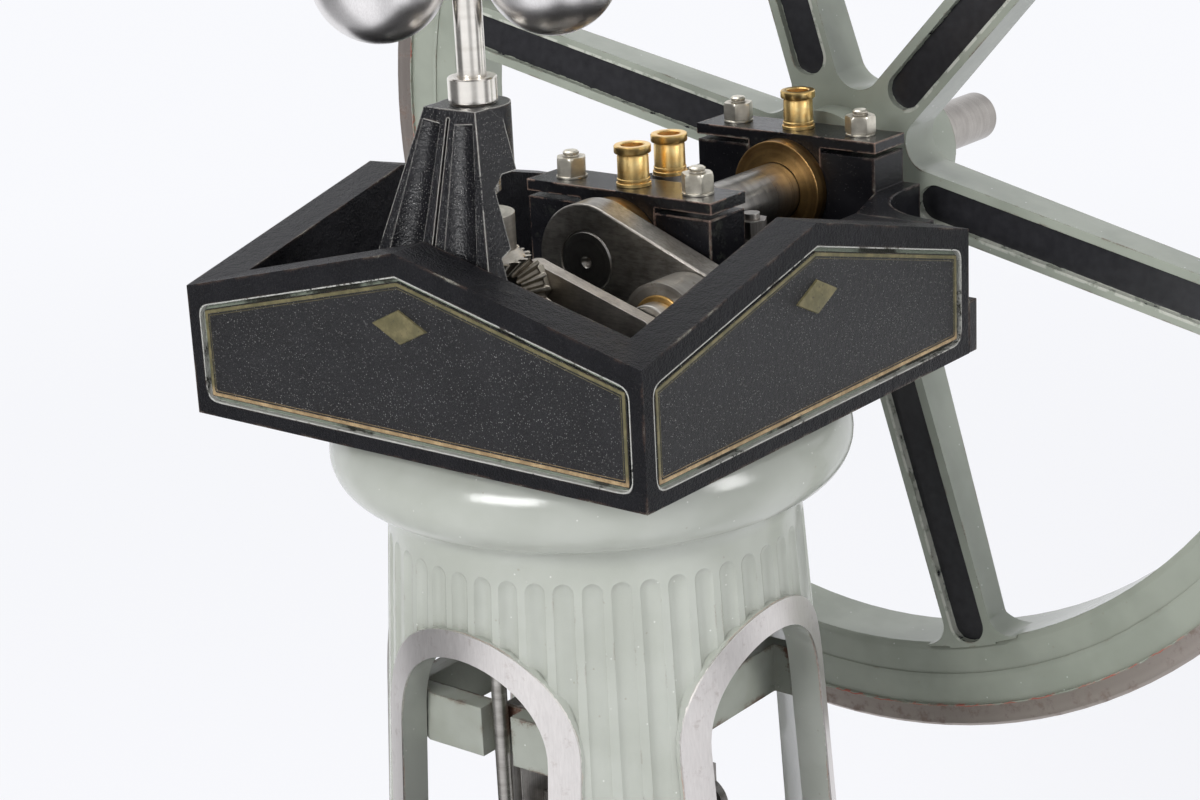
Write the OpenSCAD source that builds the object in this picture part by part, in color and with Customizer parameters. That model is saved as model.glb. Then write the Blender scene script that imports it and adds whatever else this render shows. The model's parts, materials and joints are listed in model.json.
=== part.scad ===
// Column steam engine: a model of a vertical engine carried on a hollow fluted column.
// The cylinder stands inside the foot of the column, and the crankshaft, flywheel and ball
// governor stand on the square entablature at its top. Z is up, and the crankshaft lies along Y.
// The origin is on the axis of the column, at the underside of the base plate.

/* [Base] */
// Side of the square base plate
base_side = 152; // [150:1:200]
// Full thickness of the base plate
base_t = 12; // [10:0.5:20]
// Height of the lower step of the base plate
base_step_h = 8; // [5:0.5:9]
// Width of the step that runs round the top of the base plate
base_step_w = 4; // [2:0.5:8]
// Radius of the base plate's corners
base_corner_r = 6; // [3:0.5:12]
// Distance from the plate's edge to the centre of a base bolt hole
bolt_inset = 12; // [10:0.5:16]
// Diameter of the four base bolt holes
bolt_d = 6.5; // [4:0.1:9]

/* [Column] */
// Height of the column between the base plate and the entablature
col_h = 238; // [232:1:290]
// Radius of the column's shaft just below the capital
neck_r = 40.2; // [39:0.1:49]
// Radius of the column's shaft just above the foot moulding
foot_r = 53.6; // [50:0.1:60]
// Thickness of the column's wall
wall_t = 5.5; // [4:0.1:6.5]
// Greatest radius of the capital
cap_r = 50.5; // [49:0.1:58]
// Radius of the round moulding of the capital
cap_roll_r = 8.5; // [6:0.1:10]
// Height of the plain lip above the capital's moulding
cap_lip_h = 1; // [0.5:0.1:3]
// Greatest radius of the foot moulding
foot_out_r = 62; // [60:0.5:68]
// Radius of the round moulding of the foot
foot_roll_r = 6.5; // [5:0.1:8]
// Radius of the hollow curves that lead from the shaft into both mouldings
cove_r = 5; // [3:0.1:6]
// Number of flutes round the shaft
flute_n = 48; // [20:4:52]
// Radius of a flute's hollow
flute_r = 2.7; // [2.5:0.1:4.5]
// Depth of a flute
flute_depth = 0.85; // [0.3:0.05:1.2]
// Plain length of shaft between a flute's end and the hollow curve
flute_margin = 2.5; // [1:0.5:6]

/* [Arches] */
// Width of the four arched openings in the column
arch_w = 36.4; // [30:0.1:40]
// Distance from the top of the column down to the crown of an opening
arch_drop = 42; // [38:0.5:50]
// Height of the openings' sills above the base plate
arch_sill = 75; // [70:1:100]
// Width of the raised band round an opening
band_w = 5.4; // [3:0.1:6]
// Height by which the band stands proud of the shaft
band_proud = 1; // [0.5:0.1:2]

/* [Entablature] */
// Width of the entablature, across the engine
entab_x = 107; // [105:0.5:130]
// Depth of the entablature, along the crankshaft
entab_y = 103.2; // [103:0.1:130]
// Height of the entablature's walls at its corners
entab_h = 25; // [22:0.5:28]
// Rise of the gables at the middle of the front and side walls
gable_h = 13; // [6:0.5:16]
// Thickness of the entablature's walls
entab_wall = 8.5; // [6:0.1:9]
// Thickness of the entablature's floor
floor_t = 4; // [3:0.1:5]
// Radius of the inner corners of the entablature
cavity_r = 6; // [3:0.5:8]
// Plain border beside and below a recessed panel
panel_margin = 3; // [2:0.1:5]
// Plain border between a recessed panel and the sloping top of its wall
panel_top_margin = 4.3; // [3:0.1:6]
// Depth of a recessed panel
panel_depth = 1; // [0.5:0.1:2]
// Corner radius of a recessed panel
panel_r = 2.5; // [1:0.1:3]
// Half width of the crank slot in the entablature's floor
crank_slot_x = 32; // [31:0.5:33]

/* [Crankshaft] */
// Height of the shaft's axis above the underside of the entablature
shaft_h = 23.65; // [23:0.05:25]
// Diameter of the crankshaft
shaft_d = 12; // [9:0.1:13]
// Diameter of the free outer end of the crankshaft
shaft_end_d = 11; // [8:0.1:12]
// Length of the free outer end, beyond the flywheel's hub
shaft_end_l = 31.7; // [15:0.1:45]
// Position along the shaft of the crank web's front face
web_y = 1.2; // [0.5:0.1:1.5]
// Thickness of the crank web
web_t = 6; // [4:0.1:6.2]
// Radius of the crank web round the shaft
web_boss_r = 11.3; // [9:0.1:12]
// Radius of the crank web round the crankpin
web_pin_r = 9.3; // [8:0.1:9.5]
// Piston stroke
stroke = 50.8; // [42:0.1:51]
// Angle of the crank below the horizontal, as the engine stands
crank_dip = 17; // [0:1:60]
// Thickness of the drive bar that carries the governor's drive gear
bar_t = 3; // [2:0.1:3.5]
// Position along the shaft of the drive bar's back face
bar_y = -12; // [-12.5:0.1:-12]
// Width across the flats of the nut on the drive bar
bar_nut_af = 8.5; // [7:0.1:10]

/* [Bearings] */
// Length of both main bearings along the shaft
brg_l = 11.2; // [9:0.1:11.5]
// Position along the shaft of the middle of the crank bearing
crank_brg_y = 16.8; // [16.5:0.1:17]
// Position along the shaft of the middle of the flywheel bearing
fly_brg_y = 73.2; // [72:0.1:74]
// Width of a bearing cap
brg_cap_w = 44.6; // [44:0.1:50]
// Thickness of a bearing cap's plate
brg_cap_t = 2.3; // [2:0.1:4]
// Width of a bearing block
brg_block_w = 44; // [42:0.1:48]
// Height of a bearing block's horns above the shaft's axis
horn_h = 8.35; // [7:0.05:10]
// Gap between the horns and the cap's plate
cap_gap = 1; // [0.5:0.1:2]
// Width of the slot between the horns
horn_slot_w = 18; // [17.5:0.1:20]
// Outer diameter of a bearing bush
bush_d = 17; // [15:0.1:17.3]
// Diameter of a bearing bush's flange
bush_flange_d = 21; // [19:0.1:22]
// Thickness of a bearing bush's flange
bush_flange_t = 3.4; // [2:0.1:3.5]
// Distance of the cap studs from the shaft's axis
stud_x = 15.3; // [14.5:0.1:18]
// Diameter of the cap studs
stud_d = 3.2; // [2.5:0.1:4]
// Width across the flats of the small nuts
nut_af = 5.5; // [5:0.1:7]
// Height of the small nuts
nut_h = 3.6; // [2.5:0.1:5]

/* [Oil cups] */
// Height of an oil cup
cup_h = 8; // [5:0.1:12]
// Diameter of an oil cup's body
cup_d = 6.1; // [5:0.1:8]
// Diameter of an oil cup's two rims
cup_rim_d = 7.2; // [6:0.1:9]
// Diameter of an oil cup's bore
cup_bore_d = 4.2; // [3:0.1:4.8]

/* [Rear bracket] */
// Width of the bay between the bracket's cheeks, where it leaves the entablature
bay_w = 55.6; // [50:0.1:57]
// Height of the bay's floor, and of the bracket's flange
bay_floor_h = 10.5; // [8:0.5:12]
// Thickness of the bracket's flange
bracket_flange_t = 3; // [2:0.1:5]
// Thickness of the cheeks beside the bearing block
cheek_t = 4; // [3:0.1:5]
// Radius of the hollow curve that sweeps from a cheek into the flange
cheek_r = 18; // [10:0.5:20]

/* [Flywheel] */
// Diameter of the flywheel
fly_d = 254; // [210:1:300]
// Position along the shaft of the rim's front face
fly_y = 86.8; // [86:0.1:92]
// Width of the rim along the shaft
rim_w = 20; // [12:0.5:24]
// Depth of the rim, from its inner to its outer edge
rim_depth = 19; // [14:0.5:24]
// Depth of the machined outer band of the rim's face
rim_band = 5; // [3:0.5:7]
// Number of spokes
spoke_n = 6; // [5:1:8]
// Width of a spoke
spoke_w = 12; // [9:0.5:13]
// Depth of a spoke at the hub, along the shaft
spoke_hub_t = 11; // [8:0.5:16]
// Depth of a spoke at the rim, along the shaft
spoke_rim_t = 7; // [5:0.5:12]
// Distance of the spokes' front faces behind the rim's
spoke_back = 1.2; // [0.5:0.1:3]
// Width of the long recess in a spoke's face
recess_w = 8; // [4:0.5:8.5]
// Plain stretch of a spoke between the hub and the end of its recess
recess_gap = 7; // [1:0.5:12]
// Depth of the long recess in a spoke's face
recess_depth = 1.5; // [0.5:0.1:2.5]
// Radius of the hub
hub_r = 13.5; // [12:0.1:18]
// Projection of the hub in front of the rim's face
hub_front = 5; // [2:0.1:5.5]
// Projection of the hub behind the rim's back face
hub_back = 7.2; // [3:0.1:12]
// Turn of the spokes below the horizontal, as the engine stands
spoke_turn = 12.6; // [0:0.1:60]
// Side of the square key that holds the flywheel
key_w = 3; // [2:0.1:4]

/* [Connecting rod] */
// Distance between the crankpin and the crosshead pin
rod_l = 105; // [95:0.5:112]
// Thickness of the rod's big end
big_t = 8.8; // [7:0.1:9]
// Outer radius of the big end
big_r = 8.8; // [8:0.1:9.2]
// Outer radius of the big end's brass
brass_r = 6.5; // [5.5:0.1:7]
// Radius of the crankpin
pin_r = 4.5; // [3.5:0.1:5]
// Radius of the crankpin's head
pin_head_r = 5.5; // [5.1:0.1:6]
// Diameter of the rod's shank at the big end
shank_big_d = 8; // [6:0.1:8.5]
// Diameter of the rod's shank at the small end
shank_small_d = 6.4; // [5:0.1:7]
// Thickness of the rod's small end
small_t = 7; // [5:0.1:8]
// Outer radius of the rod's small end
small_r = 6; // [5:0.1:6.5]
// Diameter of the crosshead pin
wrist_d = 5; // [4:0.1:6]

/* [Crosshead and guides] */
// Distance of the guide bars' running faces from the rod's plane
guide_gap = 15.9; // [15:0.1:17]
// Depth of a guide bar, away from the rod's plane
guide_depth = 9; // [6:0.1:9]
// Width of a guide bar
guide_w = 3.2; // [2.5:0.1:5]
// Distance from the top of the column down to the top of the guide frame
frame_drop = 56.4; // [55:0.1:62]
// Height of the guide frame
frame_h = 10.2; // [8:0.1:14]
// Half width of the guide frame
frame_x = 26.4; // [25:0.1:28]
// Thickness of the guide frame's front and side bars
frame_t = 4.6; // [3:0.1:6]
// Thickness of the guide frame's back bar
frame_back_t = 3; // [2:0.1:3.5]
// Width of the notch in the front of the guide frame
notch_w = 7.3; // [6:0.1:10]
// Depth of the notch in the front of the guide frame
notch_depth = 3.7; // [3.6:0.1:3.8]
// Thickness of the crosshead's two cheeks
cheek_plate_t = 3.5; // [2.5:0.1:4]
// Width of the crosshead
crosshead_w = 13; // [12.5:0.1:16]
// Height of a crosshead slipper
slipper_h = 18; // [14:0.5:20]
// Depth by which a slipper's groove takes in its guide bar
slipper_bite = 3; // [2:0.1:4]
// Diameter of the piston rod
piston_rod_d = 5; // [4:0.1:6]

/* [Cylinder] */
// Radius of the cylinder's barrel
barrel_r = 22; // [20:0.1:22]
// Height of the cylinder above the base plate
cyl_h = 83; // [75:0.5:95]
// Radius of the cylinder's foot
cyl_foot_r = 27; // [25:0.1:30]
// Radius of the cylinder's cover and upper flange
cover_r = 26; // [25.5:0.1:26]
// Thickness of the cylinder's flanges and cover
flange_t = 5; // [4:0.1:7]
// Radius of the piston rod's gland
gland_r = 8; // [6:0.1:10]
// Height of the piston rod's gland
gland_h = 10; // [6:0.1:14]
// Width of the steam chest
chest_w = 30; // [24:0.5:32]
// Distance from the column's axis to the steam chest's cover
chest_back_y = 38; // [36:0.1:39]
// Thickness of the steam chest's cover
chest_cover_t = 3; // [2:0.1:3.5]
// Height of the steam chest's floor above the base plate
chest_low = 23; // [18:0.5:30]
// Height of the steam chest
chest_h = 50; // [40:0.5:52]
// Radius of the outside of the steam and exhaust pipes
pipe_r = 3; // [2.5:0.1:3.5]
// Radius of the bore of the steam and exhaust pipes
pipe_bore_r = 2; // [1.5:0.1:2.3]
// Height of the pipes' axes above the base plate
pipe_h = 43; // [38:0.5:50]
// Radius of the pipes' end flanges
pipe_flange_r = 10; // [8:0.1:12]
// Thickness of the pipes' end flanges
pipe_flange_t = 3.5; // [2.5:0.1:5]
// Distance from the column's axis to the outer face of an end flange
pipe_reach = 70; // [66:0.5:74]
// Radius of the throttle valve's body
valve_body_r = 5.4; // [4.5:0.1:5.4]
// Height of the throttle valve's body
valve_body_h = 30; // [20:0.5:36]

/* [Eccentric and valve] */
// Position along the shaft of the middle of the eccentric
ecc_y = 28.5; // [28.3:0.1:28.8]
// Thickness of the eccentric and of its strap
ecc_t = 8; // [6:0.1:8]
// Offset of the eccentric from the shaft's axis
ecc_throw = 2.5; // [1.5:0.1:2.8]
// Radius of the eccentric
sheave_r = 9.5; // [9:0.1:10]
// Thickness of the strap's ring
strap_t = 3; // [2:0.1:3.2]
// Distance of the strap's bolts from its centre
strap_bolt_x = 19.2; // [17:0.1:20]
// Half height of the strap's lugs
lug_h = 3; // [2:0.1:4]
// Diameter of the eccentric rod
ecc_rod_d = 4; // [3:0.1:4.4]
// Distance from the top of the column down to the valve spindle's pin
valve_pin_drop = 100; // [90:1:110]
// Diameter of the valve spindle and of the throttle rod
spindle_d = 3; // [2:0.1:3.2]
// Diameter of the valve spindle's pin
valve_pin_d = 2.5; // [2:0.1:3]
// Position along the shaft's direction of the throttle rod
throttle_y = -31.5; // [-31.6:0.1:-31.4]
// Height of the throttle rod's end above the entablature's underside
throttle_top = 9; // [6:0.5:11]

/* [Governor] */
// Position along the shaft's direction of the governor spindle
gov_y = -28; // [-28.5:0.1:-27.5]
// Diameter of the governor spindle
gov_d = 5.2; // [4:0.1:5.6]
// Diameter of the collar on the governor spindle
collar_d = 8.9; // [8:0.1:12]
// Height of the collar on the governor spindle
collar_h = 4.6; // [3:0.1:8]
// Height of the bracket's top above the entablature's underside
boss_top = 60; // [58:0.1:66]
// Height of the bracket's boss
boss_h = 11.3; // [8:0.1:12]
// Radius of the bracket's boss
boss_r = 6.6; // [6:0.1:8]
// Outer diameter of the bracket's bush
gov_bush_d = 8; // [7:0.1:9]
// Length of the bracket's bush below the boss
gov_bush_drop = 5; // [3:0.1:6]
// Half width of the bracket at its foot
bracket_foot_x = 14.5; // [12:0.1:17]
// Half width of the bracket at its top
bracket_top_x = 6; // [5:0.1:6.5]
// Height above the entablature's underside where the bracket starts to lean
lean_h = 29; // [27:0.1:32]
// Pitch radius of both governor bevel gears at their large ends
bevel_r = 8.1; // [7:0.1:8.4]
// Number of teeth of both governor bevel gears
bevel_n = 20; // [16:4:24]
// Length of the bevel gears' teeth, along the gear's axis
bevel_face = 3.4; // [2.5:0.1:4]
// Radius of the bevel gears' hubs
bevel_hub_r = 6.1; // [5:0.1:6.5]
// Height of the pinion's hub above its teeth
pinion_hub_h = 8.2; // [5:0.1:8.5]
// Diameter of a governor ball
ball_d = 24.4; // [20:0.1:27]
// Gap between a hanging ball and the spindle
ball_gap = 0.3; // [0.3:0.1:2]
// Height of the balls' centres above the entablature's underside
ball_h = 83.5; // [82:0.5:90]
// Height of the arms' pivots above the entablature's underside
pivot_h = 128; // [125:0.5:140]
// Distance of the arms' pivots from the spindle's axis
pivot_x = 6; // [5.9:0.1:8]
// Diameter of a ball arm
arm_d = 3.6; // [3:0.1:4]
// Distance between the two pivots of a link
link_l = 14; // [12:0.1:16]
// Thickness of a link's plate
link_t = 1.6; // [1:0.1:2]
// Diameter of the pins in the arms and the sleeve
link_pin_d = 2.4; // [2:0.1:2.8]
// Turn of the governor about its spindle, as the engine stands
gov_turn = 39; // [0:1:180]

/* [Clearances] */
// Gap between pieces that are seated in each other
seat_gap = 0.02; // [0.01:0.01:0.05]
// Gap between a shaft or pin and its bearing
run_gap = 0.05; // [0.03:0.01:0.08]
// Gap between the faces of pieces that move past each other
side_gap = 0.3; // [0.2:0.05:0.4]
// Gap round a rod or pipe that passes through a hole
pass_gap = 0.5; // [0.3:0.1:1]
// Spare room in a link's open eye
link_play = 0.4; // [0.35:0.05:0.6]

/* [Hidden] */
$fn = 72;

// colours
sage = [0.56, 0.61, 0.54];
black_paint = [0.13, 0.13, 0.14];
steel = [0.62, 0.61, 0.59];
dark_steel = [0.42, 0.41, 0.40];
brass = [0.80, 0.62, 0.30];
bronze = [0.62, 0.46, 0.26];

// heights of the main planes, from the underside of the base plate
entab_z = base_t + col_h;
shaft_z = entab_z + shaft_h;
cyl_top_z = base_t + cyl_h;
cover_top_z = cyl_top_z + flange_t;
frame_z = entab_z - frame_drop - frame_h;
pipe_z = base_t + pipe_h;
chest_z = base_t + chest_low;
through = 1;
bite = 0.05;

// column: the capital's and the foot's mouldings meet the shaft in a hollow curve
roll_x = cap_r - cap_roll_r;
roll_z = entab_z - cap_lip_h - cap_roll_r;
neck_cove_x = neck_r + cove_r;
neck_z = roll_z - sqrt(pow(cap_roll_r + cove_r, 2) - pow(neck_cove_x - roll_x, 2));
foot_roll_x = foot_out_r - foot_roll_r;
foot_roll_z = base_t + foot_roll_r;
foot_cove_x = foot_r + cove_r;
foot_z = foot_roll_z + sqrt(pow(foot_roll_r + cove_r, 2) - pow(foot_cove_x - foot_roll_x, 2));
taper = (foot_r - neck_r) / (neck_z - foot_z);
taper_turn = atan(taper);
function shaft_r(z) = neck_r + taper * (neck_z - z);
flute_run = sqrt(pow(flute_r, 2) - pow(flute_r - flute_depth, 2));
flute_low_z = foot_z + flute_margin + flute_run;
flute_high_z = neck_z - flute_margin - flute_run;
sill_z = base_t + arch_sill;
spring_z = entab_z - arch_drop - arch_w / 2;

// crank mechanism
crank_r = stroke / 2;
web_back_y = web_y + web_t;
rod_y = web_y - side_gap - big_t / 2;
crankpin_x = crank_r * cos(crank_dip);
crankpin_z = shaft_z - crank_r * sin(crank_dip);
wrist_z = crankpin_z - sqrt(pow(rod_l, 2) - pow(crankpin_x, 2));
rod_lean = asin(crankpin_x / rod_l);
pin_end_y = bar_y + side_gap;
bar_half = 4;
stub_r = 2.2;

// bearings
bush_r = bush_d / 2;
crank_brg_front = crank_brg_y - brg_l / 2;
fly_brg_front = fly_brg_y - brg_l / 2;
fly_brg_back = fly_brg_y + brg_l / 2;
horn_z = shaft_z + horn_h;
cap_z = horn_z + cap_gap;
cap_top_z = cap_z + brg_cap_t;
washer_t = 0.5;
washer_r = nut_af * 0.56;
stud_rise = 1.2;
stud_depth = 7;

// flywheel
fly_r = fly_d / 2;
rim_in_r = fly_r - rim_depth;
hub_front_y = fly_y - hub_front;
hub_back_y = fly_y + rim_w + hub_back;

// eccentric: it hangs straight below the shaft as the engine stands
ecc_z = shaft_z - ecc_throw;
ecc_front_y = ecc_y - ecc_t / 2;
ecc_hub_l = 5;
ecc_hub_r = shaft_d / 2 + 2.5;
strap_r = sheave_r + strap_t;
strap_pad_h = 1.5;
cup_seat_z = ecc_z + strap_r + strap_pad_h;
valve_pin_z = entab_z - valve_pin_drop;
tongue_t = 2.4;
tongue_r = 3.6;

// guides
front_guide_y = rod_y - guide_gap - guide_depth;
rear_guide_y = rod_y + guide_gap + guide_depth;
frame_front_y = front_guide_y - frame_t;
frame_back_y = rear_guide_y + frame_back_t;
slipper_face = guide_gap + slipper_bite;

// governor
arm_lift = pivot_h - ball_h;
ball_x = gov_d / 2 + ball_gap + ball_d / 2;
hang = atan((ball_x - pivot_x) / arm_lift);
arm_l = sqrt(pow(ball_x - pivot_x, 2) + pow(arm_lift, 2));
link_top = [pivot_x + link_l * sin(hang), pivot_h - link_l * cos(hang)];
sleeve_pin_h = pivot_h - 2 * link_l * cos(hang);
link_pin_r = link_pin_d / 2;
eye_half = arm_d / 2 + 0.2;
plate_y = eye_half + 0.2;
pin_half = plate_y + link_t + 0.3;
eye_r = 3.1;
link_eye_r = link_pin_r + 1.8;
pinion_z = shaft_z + bevel_r;

// Places children with their own +Z along the crankshaft's +Y, their origin at y
module on_shaft(y) {
    translate([0, y, shaft_z]) rotate([-90, 0, 0]) children();
}

// Extrudes a drawing of X and Z along Y, from y0 to y1
module along_y(y0, y1) {
    translate([0, y1, 0]) rotate([90, 0, 0]) linear_extrude(y1 - y0) children();
}

// Extrudes a drawing of Y and Z along X, from x0 to x1
module along_x(x0, x1) {
    translate([x0, 0, 0]) rotate([90, 0, 90]) linear_extrude(x1 - x0) children();
}

// A disc or rod that lies along Y at a point of X and Z
module bar_along_y(x, z, r, y0, y1) {
    translate([x, y0, z]) rotate([-90, 0, 0]) cylinder(h = y1 - y0, r = r);
}

// A rectangle centred in X, from z0 to z1
module upright(half_w, z0, z1) {
    translate([-half_w, z0]) square([2 * half_w, z1 - z0]);
}

// A rectangle with round corners
module round_rect(w, d, r) {
    square([w - 2 * r, d], center = true);
    square([w, d - 2 * r], center = true);
    for (sx = [-1, 1], sy = [-1, 1]) {
        translate([sx * (w / 2 - r), sy * (d / 2 - r)]) circle(r);
    }
}

// A convex outline, listed anticlockwise, grown by r with round corners
module round_outline(points, r) {
    n = len(points);
    polygon(points);
    for (i = [0 : n - 1]) {
        a = points[i];
        b = points[(i + 1) % n];
        side = [b.y - a.y, a.x - b.x] / norm(b - a) * r;
        polygon([a, a + side, b + side, b]);
        translate(a) circle(r);
    }
}

// Two round bosses joined nearly along their tangents, the second at distance d along X
module two_boss(r1, r2, d, h) {
    lean = acos((r1 - r2) / d);
    from = (r1 - bite) * [cos(lean), sin(lean)];
    to = [d, 0] + (r2 - bite) * [cos(lean), sin(lean)];
    cylinder(h = h, r = r1);
    translate([d, 0, 0]) cylinder(h = h, r = r2);
    linear_extrude(h) polygon([from, to, [to.x, -to.y], [from.x, -from.y]]);
}

// A turned oil cup, open at the top
module oil_cup() {
    rim_h = 1.4;
    foot_h = 1;
    difference() {
        union() {
            cylinder(h = cup_h, r = cup_d / 2);
            cylinder(h = foot_h, r = cup_rim_d / 2);
            translate([0, 0, cup_h - rim_h]) cylinder(h = rim_h, r = cup_rim_d / 2);
        }
        translate([0, 0, cup_h * 0.35]) cylinder(h = cup_h, r = cup_bore_d / 2);
    }
}

// A nut on its washer, with the end of its stud above it and the stud below it
module stud_and_nut(depth) {
    nut_z = washer_t;
    translate([0, 0, -depth]) cylinder(h = depth + nut_z + nut_h + stud_rise, r = stud_d / 2);
    cylinder(h = washer_t, r = washer_r);
    translate([0, 0, nut_z]) cylinder(h = nut_h, r = nut_af / sqrt(3), $fn = 6);
}

// base plate

module base_plate() color(sage) difference() {
    union() {
        linear_extrude(base_step_h) round_rect(base_side, base_side, base_corner_r);
        linear_extrude(base_t) {
            round_rect(base_side - 2 * base_step_w, base_side - 2 * base_step_w, base_corner_r);
        }
    }
    for (sx = [-1, 1], sy = [-1, 1]) {
        bolt_at = base_side / 2 - bolt_inset;
        translate([sx * bolt_at, sy * bolt_at, -through]) {
            cylinder(h = base_t + 2 * through, r = bolt_d / 2);
        }
    }
}

// column

// Half outline of the column's outside
module column_outline() {
    polygon([[0, base_t], [foot_r, base_t], [foot_r, foot_z], [neck_r, neck_z], [0, neck_z]]);
    difference() {
        union() {
            polygon([[0, base_t], [foot_roll_x, base_t], [foot_roll_x, foot_roll_z],
                     [foot_cove_x, foot_z], [0, foot_z]]);
            translate([foot_roll_x, foot_roll_z]) circle(foot_roll_r);
        }
        translate([foot_cove_x, foot_z]) circle(cove_r);
    }
    difference() {
        polygon([[0, neck_z], [neck_cove_x, neck_z], [roll_x, roll_z], [0, roll_z]]);
        translate([neck_cove_x, neck_z]) circle(cove_r);
    }
    translate([roll_x, roll_z]) circle(cap_roll_r);
    translate([0, roll_z]) square([roll_x + 2, entab_z - roll_z]);
}

// Half outline of the tapered shaft, grown by extra and closed at both ends
module shaft_outline(extra, z0, z1) {
    polygon([[0, z0], [shaft_r(z0) + extra, z0], [shaft_r(z1) + extra, z1], [0, z1]]);
}

// Outline of an arched opening, grown by extra
module arch_outline(extra) {
    upright(arch_w / 2 + extra, sill_z - extra, spring_z);
    translate([0, spring_z]) circle(arch_w / 2 + extra);
}

// The arch outline through the front and back walls, and through the side walls
module both_ways(extra) {
    along_y(-foot_out_r, foot_out_r) arch_outline(extra);
    rotate([0, 0, 90]) along_y(-foot_out_r, foot_out_r) arch_outline(extra);
}

module flutes() {
    run = flute_high_z - flute_low_z;
    for (i = [0 : flute_n - 1]) rotate([0, 0, 45 + i * 360 / flute_n]) {
        translate([shaft_r(flute_low_z) + flute_r - flute_depth, 0, flute_low_z]) {
            rotate([0, -taper_turn, 0]) {
                cylinder(h = run / cos(taper_turn), r = flute_r);
                sphere(flute_r);
                translate([0, 0, run / cos(taper_turn)]) sphere(flute_r);
            }
        }
    }
}

module column() color(sage) difference() {
    union() {
        difference() {
            rotate_extrude() column_outline();
            flutes();
        }
        intersection() {
            rotate_extrude() shaft_outline(band_proud, foot_z, neck_z);
            both_ways(band_w);
        }
    }
    rotate_extrude() shaft_outline(-wall_t, foot_z, neck_z);
    translate([0, 0, base_t - through]) cylinder(h = foot_z - base_t + through, r = foot_r - wall_t);
    translate([0, 0, neck_z]) cylinder(h = entab_z - neck_z + through, r = neck_r - wall_t);
    both_ways(0);
    translate([0, 0, pipe_z]) {
        rotate([90, 0, 0]) cylinder(h = foot_out_r, r = pipe_r + pass_gap);
    }
    translate([0, rod_y, pipe_z]) {
        rotate([0, -90, 0]) cylinder(h = foot_out_r, r = pipe_r + pass_gap);
    }
}

// guides

module guide_frame() color(sage) difference() {
    intersection() {
        rotate_extrude() shaft_outline(-wall_t - side_gap, frame_z, frame_z + frame_h);
        translate([0, 0, frame_z]) linear_extrude(frame_h) difference() {
            union() {
                translate([-frame_x, frame_front_y]) {
                    square([2 * frame_x, frame_back_y - frame_front_y]);
                }
                translate([-neck_r, frame_back_y - frame_back_t]) {
                    square([2 * neck_r, frame_back_t]);
                }
            }
            translate([frame_t - frame_x, frame_front_y + frame_t]) {
                square([2 * (frame_x - frame_t), rear_guide_y - frame_front_y - frame_t]);
            }
            translate([-notch_w / 2, frame_front_y - through]) {
                square([notch_w, notch_depth + through]);
            }
        }
    }
}

module guide_bars() color(dark_steel) {
    bar_h = frame_z + frame_h - cover_top_z;
    for (y = [front_guide_y, rear_guide_y - guide_depth]) {
        translate([-guide_w / 2, y, cover_top_z]) cube([guide_w, guide_depth, bar_h]);
    }
}

// entablature

// Face of a gabled wall of the given width
module gable(w) {
    polygon([[-w / 2, entab_z], [w / 2, entab_z], [w / 2, entab_z + entab_h],
             [0, entab_z + entab_h + gable_h], [-w / 2, entab_z + entab_h]]);
}

// Recessed panel in a gabled wall of the given width
module gable_panel(w) {
    in_x = w / 2 - panel_margin - panel_r;
    low = entab_z + panel_margin + panel_r;
    slope = gable_h / (w / 2);
    drop = (panel_top_margin + panel_r) * sqrt(1 + slope * slope);
    peak = entab_z + entab_h + gable_h - drop;
    round_outline([[-in_x, low], [in_x, low], [in_x, peak - slope * in_x], [0, peak],
                   [-in_x, peak - slope * in_x]], panel_r);
}

module entablature() color(black_paint) difference() {
    in_x = entab_x - 2 * entab_wall;
    in_y = entab_y - 2 * entab_wall;
    union() {
        translate([-entab_x / 2, -entab_y / 2, entab_z]) cube([entab_x, entab_y, entab_h]);
        along_y(-entab_y / 2, -entab_y / 2 + entab_wall) gable(entab_x);
        along_x(-entab_x / 2, -entab_x / 2 + entab_wall) gable(entab_y);
        along_x(entab_x / 2 - entab_wall, entab_x / 2) gable(entab_y);
    }
    translate([0, 0, entab_z + floor_t]) {
        linear_extrude(entab_h + gable_h) round_rect(in_x, in_y, cavity_r);
    }
    along_y(-entab_y / 2 - through, -entab_y / 2 + panel_depth) gable_panel(entab_x);
    along_x(-entab_x / 2 - through, -entab_x / 2 + panel_depth) gable_panel(entab_y);
    along_x(entab_x / 2 - panel_depth, entab_x / 2 + through) gable_panel(entab_y);
    along_y(entab_y / 2 - entab_wall - through, entab_y / 2 + through) {
        upright(bay_w / 2, entab_z + bay_floor_h, entab_z + entab_h + through);
    }
    slot_front = bar_y - bar_t - 3;
    slot_back = web_back_y + 2.1;
    translate([0, (slot_front + slot_back) / 2, entab_z - through]) {
        linear_extrude(floor_t + 2 * through) {
            round_rect(2 * crank_slot_x, slot_back - slot_front, cavity_r);
        }
    }
    translate([0, ecc_y, entab_z - through]) linear_extrude(floor_t + 2 * through) {
        round_rect(4 * ecc_rod_d + 2 * ecc_throw, ecc_rod_d + 4, 2);
    }
    translate([0, throttle_y, entab_z - through]) {
        cylinder(h = floor_t + 2 * through, r = spindle_d / 2 + run_gap);
    }
}

// bearings

// Front view of a bearing block, from low_z up to its horns, without its bore
module bearing_face(low_z) {
    difference() {
        upright(brg_block_w / 2, low_z, horn_z);
        upright(horn_slot_w / 2, shaft_z, horn_z + through);
    }
}

// Round seat for the bush, and the four stud holes of a bearing block
module bearing_bores(y) {
    bar_along_y(0, shaft_z, bush_r + seat_gap, y - brg_l / 2 - through, y + brg_l / 2 + through);
    for (sx = [-1, 1]) translate([sx * stud_x, y, horn_z - stud_depth]) {
        cylinder(h = stud_depth + through, r = stud_d / 2 + seat_gap);
    }
}

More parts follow.
